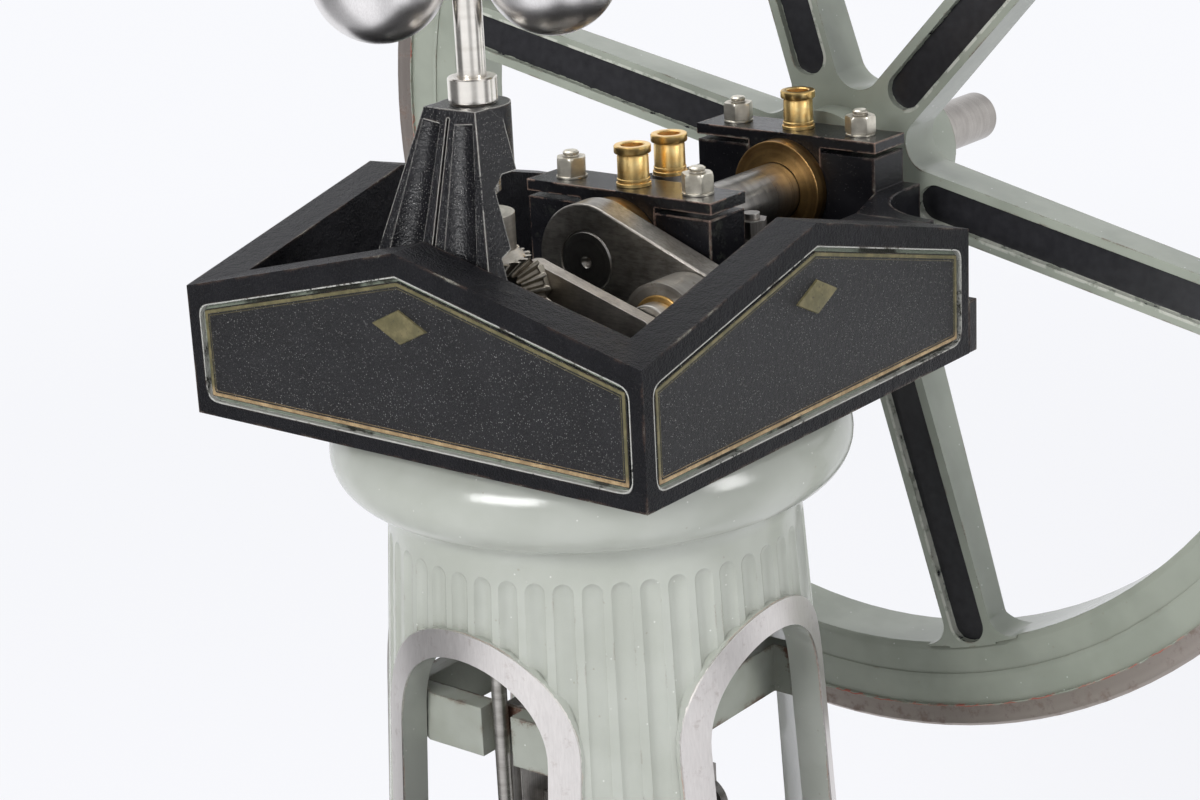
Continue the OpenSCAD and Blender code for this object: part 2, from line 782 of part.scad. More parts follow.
module bearing_cap(y) difference() {
    union() {
        along_y(y - brg_l / 2, y + brg_l / 2) {
            upright(brg_cap_w / 2, cap_z, cap_top_z);
            upright(horn_slot_w / 2 - seat_gap, shaft_z + seat_gap, cap_z);
        }
    }
    bar_along_y(0, shaft_z, bush_r + seat_gap, y - brg_l / 2 - through, y + brg_l / 2 + through);
    for (sx = [-1, 1]) translate([sx * stud_x, y, cap_z - through]) {
        cylinder(h = brg_cap_t + 2 * through, r = stud_d / 2 + seat_gap);
    }
}

// A flanged bush, its flange in front of the bearing that starts at y
module bearing_bush(y) on_shaft(y) difference() {
    union() {
        cylinder(h = brg_l, r = bush_r);
        translate([0, 0, -bush_flange_t]) cylinder(h = bush_flange_t, r = bush_flange_d / 2);
    }
    translate([0, 0, -bush_flange_t - through]) {
        cylinder(h = brg_l + bush_flange_t + 2 * through, r = shaft_d / 2 + run_gap);
    }
}

module crank_pedestal() color(black_paint) difference() {
    along_y(crank_brg_front, crank_brg_y + brg_l / 2) bearing_face(entab_z + floor_t);
    bearing_bores(crank_brg_y);
}

module crank_bearing_cap() color(black_paint) bearing_cap(crank_brg_y);

module crank_bearing_bush() color(bronze) bearing_bush(crank_brg_front);

module flywheel_bearing_cap() color(black_paint) bearing_cap(fly_brg_y);

module flywheel_bearing_bush() color(bronze) bearing_bush(fly_brg_front);

module cap_nuts() color(steel) {
    for (y = [crank_brg_y, fly_brg_y], sx = [-1, 1]) {
        translate([sx * stud_x, y, cap_top_z]) {
            stud_and_nut(cap_top_z - horn_z + stud_depth - 0.5);
        }
    }
}

module bearing_oil_cups() color(brass) {
    for (y = [crank_brg_y, fly_brg_y]) translate([0, y, cap_top_z]) oil_cup();
}

// rear bracket

module rear_bracket() color(black_paint) {
    back = entab_y / 2;
    block_x = brg_block_w / 2;
    out_x = block_x + cheek_t;
    arc_x = out_x + cheek_r;
    arc_y = back + bracket_flange_t + cheek_r;
    under_r = 30;
    difference() {
        union() {
            along_y(back, back + bracket_flange_t) {
                upright(entab_x / 2, entab_z, entab_z + bay_floor_h);
            }
            translate([0, 0, entab_z]) linear_extrude(bay_floor_h) {
                polygon([[-bay_w / 2, back], [bay_w / 2, back],
                         [block_x, fly_brg_front], [-block_x, fly_brg_front]]);
            }
            for (sx = [0, 1]) mirror([sx, 0, 0]) {
                translate([0, 0, entab_z]) linear_extrude(entab_h) difference() {
                    polygon([[bay_w / 2, back], [arc_x, back], [arc_x, arc_y - cheek_r],
                             [out_x, arc_y], [out_x, fly_brg_back], [block_x, fly_brg_back],
                             [block_x, fly_brg_front]]);
                    translate([arc_x, arc_y]) circle(cheek_r);
                }
            }
            along_y(fly_brg_front, fly_brg_back) bearing_face(entab_z);
        }
        bearing_bores(fly_brg_y);
        translate([0, fly_brg_back + 5, entab_z - 20]) rotate([0, 90, 0]) {
            cylinder(h = 2 * arc_x, r = under_r, center = true);
        }
    }
}

// governor bracket

module governor_bracket() color(black_paint) difference() {
    wall_y = -entab_y / 2 + entab_wall + seat_gap;
    low = entab_z + floor_t;
    lean_z = entab_z + lean_h;
    top = entab_z + boss_top;
    boss_z = top - boss_h;
    gear_y = gov_y - bevel_r - 1.5;
    hub_y = gov_y - bevel_hub_r - 0.6;
    union() {
        intersection() {
            along_y(wall_y, gov_y) polygon([
                [-bracket_foot_x, low], [bracket_foot_x, low], [bracket_foot_x, lean_z],
                [bracket_top_x, top], [-bracket_top_x, top], [-bracket_foot_x, lean_z]
            ]);
            along_x(-bracket_foot_x, bracket_foot_x) polygon([
                [wall_y, low], [gear_y, low], [gear_y, pinion_z + 3.5],
                [hub_y, pinion_z + 4.5], [hub_y, boss_z - 2], [gov_y - gov_bush_d / 2, boss_z],
                [gov_y, boss_z], [gov_y, top], [gov_y - boss_r, top], [wall_y, lean_z]
            ]);
        }
        translate([0, gov_y, boss_z]) cylinder(h = boss_h, r = boss_r);
    }
    translate([0, gov_y, boss_z - through]) {
        cylinder(h = boss_h + 2 * through, r = gov_bush_d / 2 + seat_gap);
    }
    lean = atan((gov_y - boss_r - wall_y) / (top - lean_z));
    run = (top - lean_z) / cos(lean);
    for (sx = [-1, 1]) translate([sx * bracket_foot_x * 0.5, wall_y, lean_z]) {
        rotate([-lean, -sx * 6.8, 0]) translate([0, -2.6, 0]) {
            cylinder(h = run * 0.93, r1 = 4.9, r2 = 3.3);
        }
    }
    groove_w = 0.6;
    translate([0, wall_y, lean_z]) rotate([-lean, 0, 0]) {
        translate([-groove_w / 2, -groove_w, 0]) cube([groove_w, 2 * groove_w, run * 0.95]);
    }
}

module governor_bush() color(steel) {
    translate([0, gov_y, entab_z + boss_top - boss_h - gov_bush_drop]) difference() {
        cylinder(h = boss_h + gov_bush_drop, r = gov_bush_d / 2);
        translate([0, 0, -through]) {
            cylinder(h = boss_h + gov_bush_drop + 2 * through, r = gov_d / 2 + run_gap);
        }
    }
}

// cylinder and steam

module cylinder_at(z, h, r) {
    translate([0, rod_y, z]) cylinder(h = h, r = r);
}

module cylinder_body() {
    cylinder_at(base_t, flange_t, cyl_foot_r);
    cylinder_at(base_t, cyl_h, barrel_r);
    cylinder_at(cyl_top_z - flange_t, flange_t, cover_r);
}

module cylinder_cover() color(dark_steel) difference() {
    union() {
        cylinder_at(cyl_top_z, flange_t, cover_r);
        cylinder_at(cyl_top_z, flange_t + gland_h, gland_r);
    }
    cylinder_at(cyl_top_z - through, flange_t + gland_h + 2 * through, piston_rod_d / 2 + run_gap);
}

module steam_chest() color(sage) {
    gland_z = chest_z + chest_h;
    difference() {
        union() {
            translate([-chest_w / 2, rod_y + barrel_r / 2, chest_z]) {
                cube([chest_w, chest_back_y - rod_y - barrel_r / 2, chest_h]);
            }
            translate([-chest_w / 2 + 1, chest_back_y, chest_z + 1]) {
                cube([chest_w - 2, chest_cover_t, chest_h - 2]);
            }
            translate([0, ecc_y, gland_z]) cylinder(h = gland_h * 0.7, r = spindle_d + 2);
        }
        cylinder_at(chest_z - through, chest_h + 2 * through, barrel_r + seat_gap);
        translate([0, ecc_y, gland_z - gland_h]) {
            cylinder(h = 2 * gland_h, r = spindle_d / 2 + run_gap);
        }
    }
}

// A pipe end with its flange, along +X from x0 to x1, open at its outer end
module flanged_pipe(x0, x1) rotate([0, 90, 0]) translate([0, 0, x0]) {
    cylinder(h = x1 - x0, r = pipe_r);
    translate([0, 0, x1 - x0 - pipe_flange_t]) cylinder(h = pipe_flange_t, r = pipe_flange_r);
}

module steam_inlet() color(bronze) difference() {
    ring_r = rod_y - throttle_y;
    union() {
        translate([0, throttle_y, pipe_z - valve_body_h / 2]) {
            cylinder(h = valve_body_h, r = valve_body_r);
        }
        translate([0, 0, pipe_z]) rotate([0, 0, -90]) flanged_pipe(-throttle_y, pipe_reach);
        translate([0, rod_y, pipe_z]) rotate([0, 0, -90]) {
            rotate_extrude(angle = 160) translate([ring_r, 0]) circle(pipe_r - 0.5);
        }
    }
    translate([-chest_w / 2, rod_y, chest_z]) {
        cube([chest_w, chest_back_y, chest_h]);
    }
    translate([0, 0, pipe_z]) rotate([90, 0, 0]) {
        translate([0, 0, -throttle_y + valve_body_r]) cylinder(h = pipe_reach, r = pipe_bore_r);
    }
    translate([0, throttle_y, pipe_z + valve_body_h / 2 - 6]) {
        cylinder(h = 6 + through, r = spindle_d / 2 + run_gap);
    }
}

module exhaust_outlet() color(bronze) difference() {
    translate([0, rod_y, pipe_z]) mirror([1, 0, 0]) flanged_pipe(barrel_r / 2, pipe_reach);
    cylinder_at(base_t, cyl_h, barrel_r + seat_gap);
    translate([-barrel_r - 4, rod_y, pipe_z]) rotate([0, -90, 0]) {
        cylinder(h = pipe_reach, r = pipe_bore_r);
    }
}

module valve_spindle() color(steel) {
    low = chest_z + chest_h - gland_h + 1;
    translate([0, ecc_y, low]) cylinder(h = valve_pin_z - tongue_r + 1 - low, r = spindle_d / 2);
    bar_along_y(0, valve_pin_z, tongue_r, ecc_y - tongue_t / 2, ecc_y + tongue_t / 2);
    bar_along_y(0, valve_pin_z, valve_pin_d / 2, ecc_y - ecc_t / 2, ecc_y + ecc_t / 2);
}

module throttle_rod() color(steel) {
    low = pipe_z + valve_body_h / 2 - 5;
    translate([0, throttle_y, low]) cylinder(h = entab_z + throttle_top - low, r = spindle_d / 2);
}

// crosshead

module crosshead() color(dark_steel) difference() {
    plate_in = small_t / 2 + side_gap;
    plate_out = plate_in + cheek_plate_t;
    yoke_z = wrist_z - small_r - 3;
    half_w = crosshead_w / 2;
    union() {
        for (sy = [0, 1]) translate([0, rod_y, 0]) mirror([0, sy, 0]) {
            along_y(plate_in, plate_out) {
                upright(half_w, yoke_z, wrist_z);
                translate([0, wrist_z]) circle(half_w);
            }
            along_y(plate_out, slipper_face) {
                upright(half_w, wrist_z - slipper_h / 2, wrist_z + slipper_h / 2);
            }
        }
        translate([-half_w, rod_y - plate_out, yoke_z - 5]) cube([crosshead_w, 2 * plate_out, 5]);
        bar_along_y(0, wrist_z, wrist_d / 2, rod_y - plate_out, rod_y + plate_out);
    }
    for (sy = [0, 1]) translate([0, rod_y, 0]) mirror([0, sy, 0]) {
        along_y(guide_gap - run_gap, slipper_face + through) {
            upright(guide_w / 2 + run_gap, wrist_z - slipper_h, wrist_z + slipper_h);
        }
    }
    cylinder_at(yoke_z - 5 - through, 5, piston_rod_d / 2 + seat_gap);
}

module piston_rod() color(steel) {
    top = wrist_z - small_r - 4.2;
    cylinder_at(cyl_top_z + seat_gap, top - cyl_top_z, piston_rod_d / 2);
}

// crankshaft group

module crankshaft() color(steel) difference() {
    union() {
        on_shaft(web_y) cylinder(h = hub_back_y - web_y, r = shaft_d / 2);
        on_shaft(hub_back_y) cylinder(h = shaft_end_l, r = shaft_end_d / 2);
    }
    on_shaft(web_y - 0.5) cylinder(h = 2.2, r1 = 1.6, r2 = 0);
    on_shaft(hub_front_y - through) {
        translate([-key_w / 2, -shaft_d / 2 - key_w, 0]) {
            cube([key_w, key_w * 1.5, hub_back_y - hub_front_y + through]);
        }
    }
}

// Turns a drawing of X and Z round the shaft's axis into the crank's direction
module on_crank(y0) {
    on_shaft(y0) rotate([0, 0, crank_dip]) children();
}

module crank_web() color(dark_steel) on_crank(web_y) difference() {
    two_boss(web_boss_r, web_pin_r, crank_r, web_t);
    translate([0, 0, -through]) cylinder(h = web_t + 2 * through, r = shaft_d / 2 + seat_gap);
}

module eccentric() color(dark_steel) difference() {
    union() {
        translate([0, 0, -ecc_throw]) on_shaft(ecc_front_y) cylinder(h = ecc_t, r = sheave_r);
        on_shaft(ecc_front_y + ecc_t) cylinder(h = ecc_hub_l, r = ecc_hub_r);
    }
    on_shaft(ecc_front_y - through) {
        cylinder(h = ecc_t + ecc_hub_l + 2 * through, r = shaft_d / 2 + seat_gap);
    }
}

// Plan of the flywheel's spokes, with hollow curves where they meet each other and the rim
module spoke_plan() {
    turn = 360 / spoke_n;
    half = spoke_w / 2;
    inside = half - 1;
    web_r = 6;
    rim_fillet = 5;
    web_at = (half + web_r - bite) / sin(turn / 2);
    web_run = web_at * cos(turn / 2);
    web_centre = [web_run, web_at * sin(turn / 2)];
    fillet_reach = rim_in_r - rim_fillet + bite;
    fillet_y = half + rim_fillet - bite;
    fillet_centre = [sqrt(pow(fillet_reach, 2) - pow(fillet_y, 2)), fillet_y];
    for (i = [0 : spoke_n - 1]) rotate([0, 0, i * turn]) {
        translate([0, -half]) square([rim_in_r + 1, spoke_w]);
        difference() {
            polygon([[0, 0], [web_run, inside], web_centre,
                     [web_run * cos(turn) + inside * sin(turn),
                      web_run * sin(turn) - inside * cos(turn)]]);
            translate(web_centre) circle(web_r);
        }
        for (sy = [0, 1]) mirror([0, sy]) difference() {
            polygon([[fillet_centre.x, inside], [rim_in_r + 0.5, inside],
                     fillet_centre * (rim_in_r + 0.5) / fillet_reach, fillet_centre]);
            translate(fillet_centre) circle(rim_fillet);
        }
    }
}

// Half section of the flywheel's rim: radius from the axis, and distance behind its front face
module rim_section() {
    chamfer = 0.8;
    face_back = 0.7;
    step_back = 1.4;
    band_r = fly_r - rim_band;
    step_r = rim_in_r + (band_r - rim_in_r) / 2;
    polygon([
        [rim_in_r, step_back + 1], [rim_in_r + 1.5, step_back], [step_r, step_back],
        [step_r, face_back + 0.4], [step_r + 1, face_back], [band_r, face_back], [band_r, 0],
        [fly_r - chamfer, 0], [fly_r, chamfer], [fly_r, rim_w - chamfer],
        [fly_r - chamfer, rim_w], [band_r, rim_w], [band_r, rim_w - face_back],
        [rim_in_r + 1.5, rim_w - face_back - 1], [rim_in_r, rim_w - face_back - 2]
    ]);
}

module flywheel() color(sage) on_shaft(fly_y) rotate([0, 0, spoke_turn]) difference() {
    recess_start = hub_r + recess_gap + recess_w / 2;
    recess_end = rim_in_r - recess_w / 2;
    bore_h = rim_w + hub_front + hub_back + 2 * through;
    union() {
        rotate_extrude() rim_section();
        translate([0, 0, -hub_front]) cylinder(h = rim_w + hub_front + hub_back, r = hub_r);
        intersection() {
            linear_extrude(rim_w) spoke_plan();
            rotate_extrude() polygon([
                [0, spoke_back], [rim_in_r + 1, spoke_back],
                [rim_in_r + 1, spoke_back + spoke_rim_t + 3],
                [rim_in_r - 4, spoke_back + spoke_rim_t],
                [hub_r, spoke_back + spoke_hub_t], [0, spoke_back + spoke_hub_t]
            ]);
        }
    }
    for (i = [0 : spoke_n - 1]) rotate([0, 0, i * 360 / spoke_n]) {
        translate([0, 0, -through]) linear_extrude(spoke_back + recess_depth + through) {
            translate([recess_start, -recess_w / 2]) square([recess_end - recess_start, recess_w]);
            translate([recess_start, 0]) circle(recess_w / 2);
            translate([recess_end, 0]) circle(recess_w / 2);
        }
    }
    translate([0, 0, -hub_front - through]) {
        cylinder(h = bore_h, r = shaft_d / 2 + seat_gap);
        rotate([0, 0, -spoke_turn]) translate([-key_w / 2, -shaft_d / 2 - key_w / 2, 0]) {
            cube([key_w, key_w, bore_h]);
        }
    }
}

module flywheel_key() color(steel) on_shaft(hub_front_y) {
    clear = seat_gap;
    translate([-key_w / 2 + clear, -shaft_d / 2 - key_w / 2 + clear, 0]) {
        cube([key_w - 2 * clear, key_w - 2 * clear, hub_back_y - hub_front_y - clear]);
    }
}

module drive_bar() color(dark_steel) on_crank(bar_y - bar_t) difference() {
    two_boss(bar_half, bar_half, crank_r, bar_t);
    translate([0, 0, -through]) cylinder(h = bar_t + 2 * through, r = stub_r + seat_gap);
}

// Outline of a straight-sided gear of n teeth with pitch radius r
module gear_outline(r, n) {
    pitch = 360 / n;
    unit = 2 * r / n;
    root = r - 1.05 * unit;
    tip = r + 0.75 * unit;
    polygon([for (i = [0 : n - 1], p = [[root, -0.33], [tip, -0.13], [tip, 0.13], [root, 0.33]])
             p[0] * [cos((i + p[1]) * pitch), sin((i + p[1]) * pitch)]]);
}

// A bevel gear for a right angle, its apex at the origin and its hub away from it along +Z
module bevel_gear(hub_h, turn) {
    translate([0, 0, bevel_r]) {
        rotate([0, 0, turn]) mirror([0, 0, 1]) {
            linear_extrude(bevel_face, scale = (bevel_r - bevel_face) / bevel_r) {
                gear_outline(bevel_r, bevel_n);
            }
        }
        cylinder(h = bevel_hub_r / 4, r1 = bevel_r - 0.5, r2 = bevel_hub_r);
        cylinder(h = hub_h, r = bevel_hub_r);
    }
}

module drive_gear() color(dark_steel) {
    nut_t = 3;
    bar_front = bar_y - bar_t;
    translate([0, gov_y, shaft_z]) rotate([-90, 0, 0]) {
        bevel_gear(bar_front - nut_t - gov_y - bevel_r, 180 / bevel_n);
    }
    on_shaft(bar_front - nut_t) {
        rotate([0, 0, 8]) cylinder(h = nut_t, r = bar_nut_af / sqrt(3), $fn = 6);
        cylinder(h = nut_t + bar_t, r = stub_r);
    }
}

// connecting rod

module connecting_rod() color(dark_steel) difference() {
    union() {
        bar_along_y(crankpin_x, crankpin_z, big_r, rod_y - big_t / 2, rod_y + big_t / 2);
        bar_along_y(0, wrist_z, small_r, rod_y - small_t / 2, rod_y + small_t / 2);
        translate([0, rod_y, wrist_z]) rotate([0, rod_lean, 0]) translate([0, 0, small_r / 2]) {
            cylinder(h = rod_l - small_r / 2 - big_r * 0.8, r1 = shank_small_d / 2,
                     r2 = shank_big_d / 2);
        }
    }
    bar_along_y(crankpin_x, crankpin_z, brass_r + seat_gap, rod_y - big_t, rod_y + big_t);
    bar_along_y(0, wrist_z, wrist_d / 2 + run_gap, rod_y - small_t, rod_y + small_t);
}

module big_end_brass() color(brass) difference() {
    bar_along_y(crankpin_x, crankpin_z, brass_r, rod_y - big_t / 2 - 0.3, rod_y + big_t / 2);
    bar_along_y(crankpin_x, crankpin_z, pin_r + run_gap, rod_y - big_t, rod_y + big_t);
}

module crankpin() color(steel) {
    head_y = rod_y - big_t / 2 - 0.4;
    bar_along_y(crankpin_x, crankpin_z, pin_r, head_y, rod_y + big_t / 2);
    bar_along_y(crankpin_x, crankpin_z, pin_head_r, pin_end_y, head_y);
}

// eccentric strap

module eccentric_strap() color(dark_steel) {
    front = ecc_front_y + side_gap;
    back = ecc_front_y + ecc_t - side_gap;
    eye_play_r = ecc_throw + valve_pin_d / 2 + side_gap;
    rod_end_r = eye_play_r + 2;
    rod_end_z = valve_pin_z - ecc_throw;
    fork_in = tongue_t / 2 + side_gap;
    fork_out = ecc_t / 2 - 0.4;
    fork_top = rod_end_z + ecc_throw + tongue_r + side_gap;
    rod_low = fork_top + 1;
    difference() {
        union() {
            bar_along_y(0, ecc_z, strap_r, front, back);
            along_y(front, back) {
                upright(strap_bolt_x + 3.4, ecc_z - lug_h, ecc_z + lug_h);
                upright(5, ecc_z - strap_r - 2, ecc_z - sheave_r);
            }
            translate([0, ecc_y, ecc_z + sheave_r + 1]) {
                cylinder(h = cup_seat_z - ecc_z - sheave_r - 1, r = cup_rim_d / 2);
            }
        }
        bar_along_y(0, ecc_z, sheave_r + run_gap, ecc_front_y - through, back + through);
    }
    for (sx = [-1, 1]) translate([sx * strap_bolt_x, ecc_y, ecc_z + lug_h]) {
        stud_and_nut(lug_h);
    }
    translate([0, ecc_y, rod_low]) {
        cylinder(h = ecc_z - strap_r - 1 - rod_low, r = ecc_rod_d / 2);
    }
    difference() {
        union() {
            bar_along_y(0, rod_end_z, rod_end_r, ecc_y - fork_out, ecc_y + fork_out);
            along_y(ecc_y - fork_out, ecc_y + fork_out) upright(3, rod_end_z, rod_low + 2);
        }
        bar_along_y(0, rod_end_z, eye_play_r, ecc_y - ecc_t, ecc_y + ecc_t);
        translate([-rod_end_r - through, ecc_y - fork_in, rod_end_z - rod_end_r - through]) {
            cube([2 * (rod_end_r + through), 2 * fork_in, fork_top - rod_end_z + rod_end_r + through]);
        }
    }
}

module strap_oil_cup() color(brass) {
    translate([0, ecc_y, cup_seat_z]) oil_cup();
}

// governor

// Places children with +X along the governor's arms, at a height above the entablature's underside
module on_governor(h) {
    translate([0, gov_y, entab_z + h]) rotate([0, 0, gov_turn]) children();
}

// A pin or eye across the governor's arms at a point of its local X and height
module cross_pin(x, h, r, half) {
    translate([x, 0, h]) rotate([90, 0, 0]) cylinder(h = 2 * half, r = r, center = true);
}

module governor_spindle() color(steel) {
    low = shaft_h + bevel_r - bevel_face - 1;
    on_governor(low) cylinder(h = pivot_h + eye_r + 3 - low, r = gov_d / 2);
    on_governor(boss_top + 0.15) cylinder(h = collar_h, r = collar_d / 2);
}

module governor_pinion() color(steel) difference() {
    translate([0, gov_y, shaft_z]) bevel_gear(pinion_hub_h, 0);
    translate([0, gov_y, shaft_z]) cylinder(h = 30, r = gov_d / 2 + seat_gap);
}

module governor_head() color(steel) on_governor(0) difference() {
    half_x = pivot_x + eye_r + 0.4;
    slot_half = eye_half + side_gap / 2;
    half_y = slot_half + 2.2;
    top_h = pivot_h + eye_r + 2.4;
    dome_r = half_y - 0.4;
    dome_flat = 0.2;
    union() {
        translate([-half_x, -half_y, pivot_h - eye_r - 0.6]) {
            cube([2 * half_x, 2 * half_y, 2 * eye_r + 3]);
        }
        translate([0, 0, top_h]) sphere(dome_r);
    }
    translate([0, 0, top_h + dome_r - dome_flat]) cylinder(h = 1, r = half_y);
    for (sx = [0, 1]) mirror([sx, 0, 0]) {
        translate([gov_d / 2 - 0.5, -slot_half, pivot_h - eye_r - 1]) {
            cube([half_x, 2 * slot_half, 2 * eye_r + 1.3]);
        }
    }
    for (sx = [-1, 1]) cross_pin(sx * pivot_x, pivot_h, link_pin_r + seat_gap, half_y + through);
    cylinder(h = pivot_h + eye_r + 3 + seat_gap, r = gov_d / 2 + seat_gap);
}

// An arm on the +X side of the governor: eye, rod, ball and the two pins that it carries
module ball_arm() {
    half_y = eye_half + side_gap / 2 + 2.2;
    cross_pin(pivot_x, pivot_h, eye_r, eye_half);
    cross_pin(pivot_x, pivot_h, link_pin_r, half_y);
    cross_pin(link_top.x, link_top.y, link_pin_r, pin_half);
    translate([pivot_x, 0, pivot_h]) rotate([0, 180 - hang, 0]) cylinder(h = arm_l, r = arm_d / 2);
    translate([ball_x, 0, ball_h]) sphere(ball_d / 2);
}

module right_arm() color(steel) on_governor(0) ball_arm();

module left_arm() color(steel) on_governor(0) mirror([1, 0, 0]) ball_arm();

// The two plates of a link on the +X side: a close eye on the sleeve, an open eye on the arm
module link_plates() {
    for (sy = [0, 1]) mirror([0, sy, 0]) {
        translate([pivot_x, plate_y + link_t, sleeve_pin_h]) rotate([90, hang - 90, 0]) difference() {
            two_boss(link_eye_r - 0.3, link_eye_r, link_l, link_t);
            translate([0, 0, -through]) cylinder(h = link_t + 2 * through, r = link_pin_r + run_gap);
            translate([link_l, 0, -through]) {
                cylinder(h = link_t + 2 * through, r = link_pin_r + link_play);
            }
        }
    }
}

module right_link() color(steel) on_governor(0) link_plates();

module left_link() color(steel) on_governor(0) mirror([1, 0, 0]) link_plates();

module governor_sleeve() color(steel) on_governor(0) difference() {
    sleeve_r = gov_d / 2 + 1.2;
    union() {
        translate([0, 0, sleeve_pin_h - 3.5]) cylinder(h = 7, r = sleeve_r);
        along_y(-eye_half, eye_half) {
            upright(pivot_x, sleeve_pin_h - 2.4, sleeve_pin_h + 2.4);
            for (sx = [-1, 1]) translate([sx * pivot_x, sleeve_pin_h]) circle(2.4);
        }
        for (sx = [-1, 1]) cross_pin(sx * pivot_x, sleeve_pin_h, link_pin_r, pin_half);
    }
    cylinder(h = pivot_h, r = gov_d / 2 + run_gap);
}

base_plate();
column();
guide_frame();
guide_bars();
entablature();
rear_bracket();
governor_bracket();
governor_bush();
crank_pedestal();
crank_bearing_cap();
crank_bearing_bush();
flywheel_bearing_cap();
flywheel_bearing_bush();
cap_nuts();
bearing_oil_cups();
color(sage) cylinder_body();  // cylinder
cylinder_cover();
steam_chest();
steam_inlet();
exhaust_outlet();
valve_spindle();
throttle_rod();
crosshead();
piston_rod();
crankshaft();
crank_web();
eccentric();
flywheel();
flywheel_key();
drive_bar();
drive_gear();
connecting_rod();
big_end_brass();
crankpin();
eccentric_strap();
strap_oil_cup();
governor_spindle();
governor_pinion();
governor_head();
left_arm();
right_arm();
left_link();
right_link();
governor_sleeve();
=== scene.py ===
import json
import math

import bmesh
import bpy
from mathutils import Matrix, Vector


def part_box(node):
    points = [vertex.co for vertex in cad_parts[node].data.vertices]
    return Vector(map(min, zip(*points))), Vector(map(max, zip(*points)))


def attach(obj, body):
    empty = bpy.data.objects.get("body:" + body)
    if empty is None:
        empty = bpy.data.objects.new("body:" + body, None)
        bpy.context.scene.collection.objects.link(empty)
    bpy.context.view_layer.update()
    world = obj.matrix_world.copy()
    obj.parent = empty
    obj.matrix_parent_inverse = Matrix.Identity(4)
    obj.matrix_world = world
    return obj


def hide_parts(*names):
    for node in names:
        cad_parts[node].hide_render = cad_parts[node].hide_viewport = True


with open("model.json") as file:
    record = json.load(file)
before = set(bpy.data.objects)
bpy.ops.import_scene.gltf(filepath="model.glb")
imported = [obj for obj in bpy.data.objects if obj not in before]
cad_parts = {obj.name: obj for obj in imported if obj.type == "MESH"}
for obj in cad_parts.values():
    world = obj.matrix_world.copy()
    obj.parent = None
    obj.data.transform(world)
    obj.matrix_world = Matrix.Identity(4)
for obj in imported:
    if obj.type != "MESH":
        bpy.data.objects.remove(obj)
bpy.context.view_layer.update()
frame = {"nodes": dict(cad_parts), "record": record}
scene = bpy.context.scene
MM = 0.001

# ---- Camera and studio ----
# A long lens a little above the top casting, turned to the corner where its two front gables meet.
# Three soft boxes and a pale room stand for the studio, and the floor runs white to the horizon.
# Dark flags beside the camera show only in polished metal, which needs dark bands to look round.

scene.view_settings.view_transform = "Standard"


def placed(name, data):
    """An object in the scene, at the origin."""
    made = bpy.data.objects.new(name, data)
    scene.collection.objects.link(made)
    return made


lens = bpy.data.cameras.new("lens")
LENS_LENGTH, FILM_WIDTH = 78.06, 36
lens.lens, lens.sensor_width = LENS_LENGTH, FILM_WIDTH
lens.clip_start, lens.clip_end = 0.02, 60
camera = placed("camera", lens)
scene.camera = camera
CAMERA_PLACE = Vector((302.0, -367.8, 401.9))
turn, tip, roll = math.radians(39.15), math.radians(18.1), math.radians(-2.9)
back = Vector((math.sin(turn) * math.cos(tip), -math.cos(turn) * math.cos(tip), math.sin(tip)))
right = Vector((0, 0, 1)).cross(back).normalized()
up = back.cross(right)
across = right * math.cos(roll) + up * math.sin(roll)
upward = up * math.cos(roll) - right * math.sin(roll)
view_turn = Matrix((across, upward, back)).transposed().to_4x4()
camera.matrix_world = Matrix.Translation(CAMERA_PLACE * MM) @ view_turn


def add(tree, kind, inputs=(), **settings):
    """A node in a tree. Inputs go by name or number, as values or as other nodes' sockets."""
    made = tree.nodes.new(kind)
    for name, value in settings.items():
        setattr(made, name, value)
    for key, value in dict(inputs).items():
        if isinstance(value, bpy.types.NodeSocket):
            tree.links.new(value, made.inputs[key])
        else:
            made.inputs[key].default_value = value
    return made


def calc(tree, operation, *values, clamp=False):
    """A sum in a shader tree, and the socket that holds its result."""
    return add(tree, "ShaderNodeMath", enumerate(values), operation=operation,
               use_clamp=clamp).outputs[0]


def effect(name, takes, gives):
    """An empty shader group with named inputs and outputs, and its entry and exit."""
    made = bpy.data.node_groups.new(name, "ShaderNodeTree")
    for label, kind, value in takes:
        socket = made.interface.new_socket(label, in_out="INPUT", socket_type="NodeSocket" + kind)
        socket.default_value = value
    for label, kind in gives:
        made.interface.new_socket(label, in_out="OUTPUT", socket_type="NodeSocket" + kind)
    return made, add(made, "NodeGroupInput").outputs, add(made, "NodeGroupOutput").inputs


def use(tree, made, **inputs):
    """The outputs of a shader group placed in a tree, its inputs given by name."""
    node = tree.nodes.new("ShaderNodeGroup")
    node.node_tree = made
    for key, value in inputs.items():
        if isinstance(value, bpy.types.NodeSocket):
            tree.links.new(value, node.inputs[key])
        else:
            node.inputs[key].default_value = value
    return node.outputs


def split(tree, vector):
    """The three parts of a vector."""
    return add(tree, "ShaderNodeSeparateXYZ", {0: vector}).outputs


# How light polished metal shows the room in each direction, in degrees round from the camera
FLAG_STOPS = [(-180, 1.0), (-130, 1.0), (-116, 0.2), (-74, 0.16), (-60, 1.0), (-10, 1.0),
              (0, 0.55), (16, 0.5), (26, 1.0), (52, 1.0), (60, 0.2), (72, 0.2), (84, 1.0),
              (130, 1.0)]
flags, enters, leaves = effect("dark flags", [("Way", "Vector", (0, 0, 0))], [("Light", "Float")])
level = add(flags, "ShaderNodeVectorRotate",
            {"Vector": enters["Way"], "Axis": (0, 0, 1), "Angle": -turn}).outputs[0]
ahead = split(flags, level)
angle = calc(flags, "ARCTAN2", ahead[0], calc(flags, "MULTIPLY", ahead[1], -1.0))
share = calc(flags, "MULTIPLY_ADD", angle, 0.5 / math.pi, 0.5)
bands = add(flags, "ShaderNodeValToRGB", {0: share})
edges = bands.color_ramp.elements
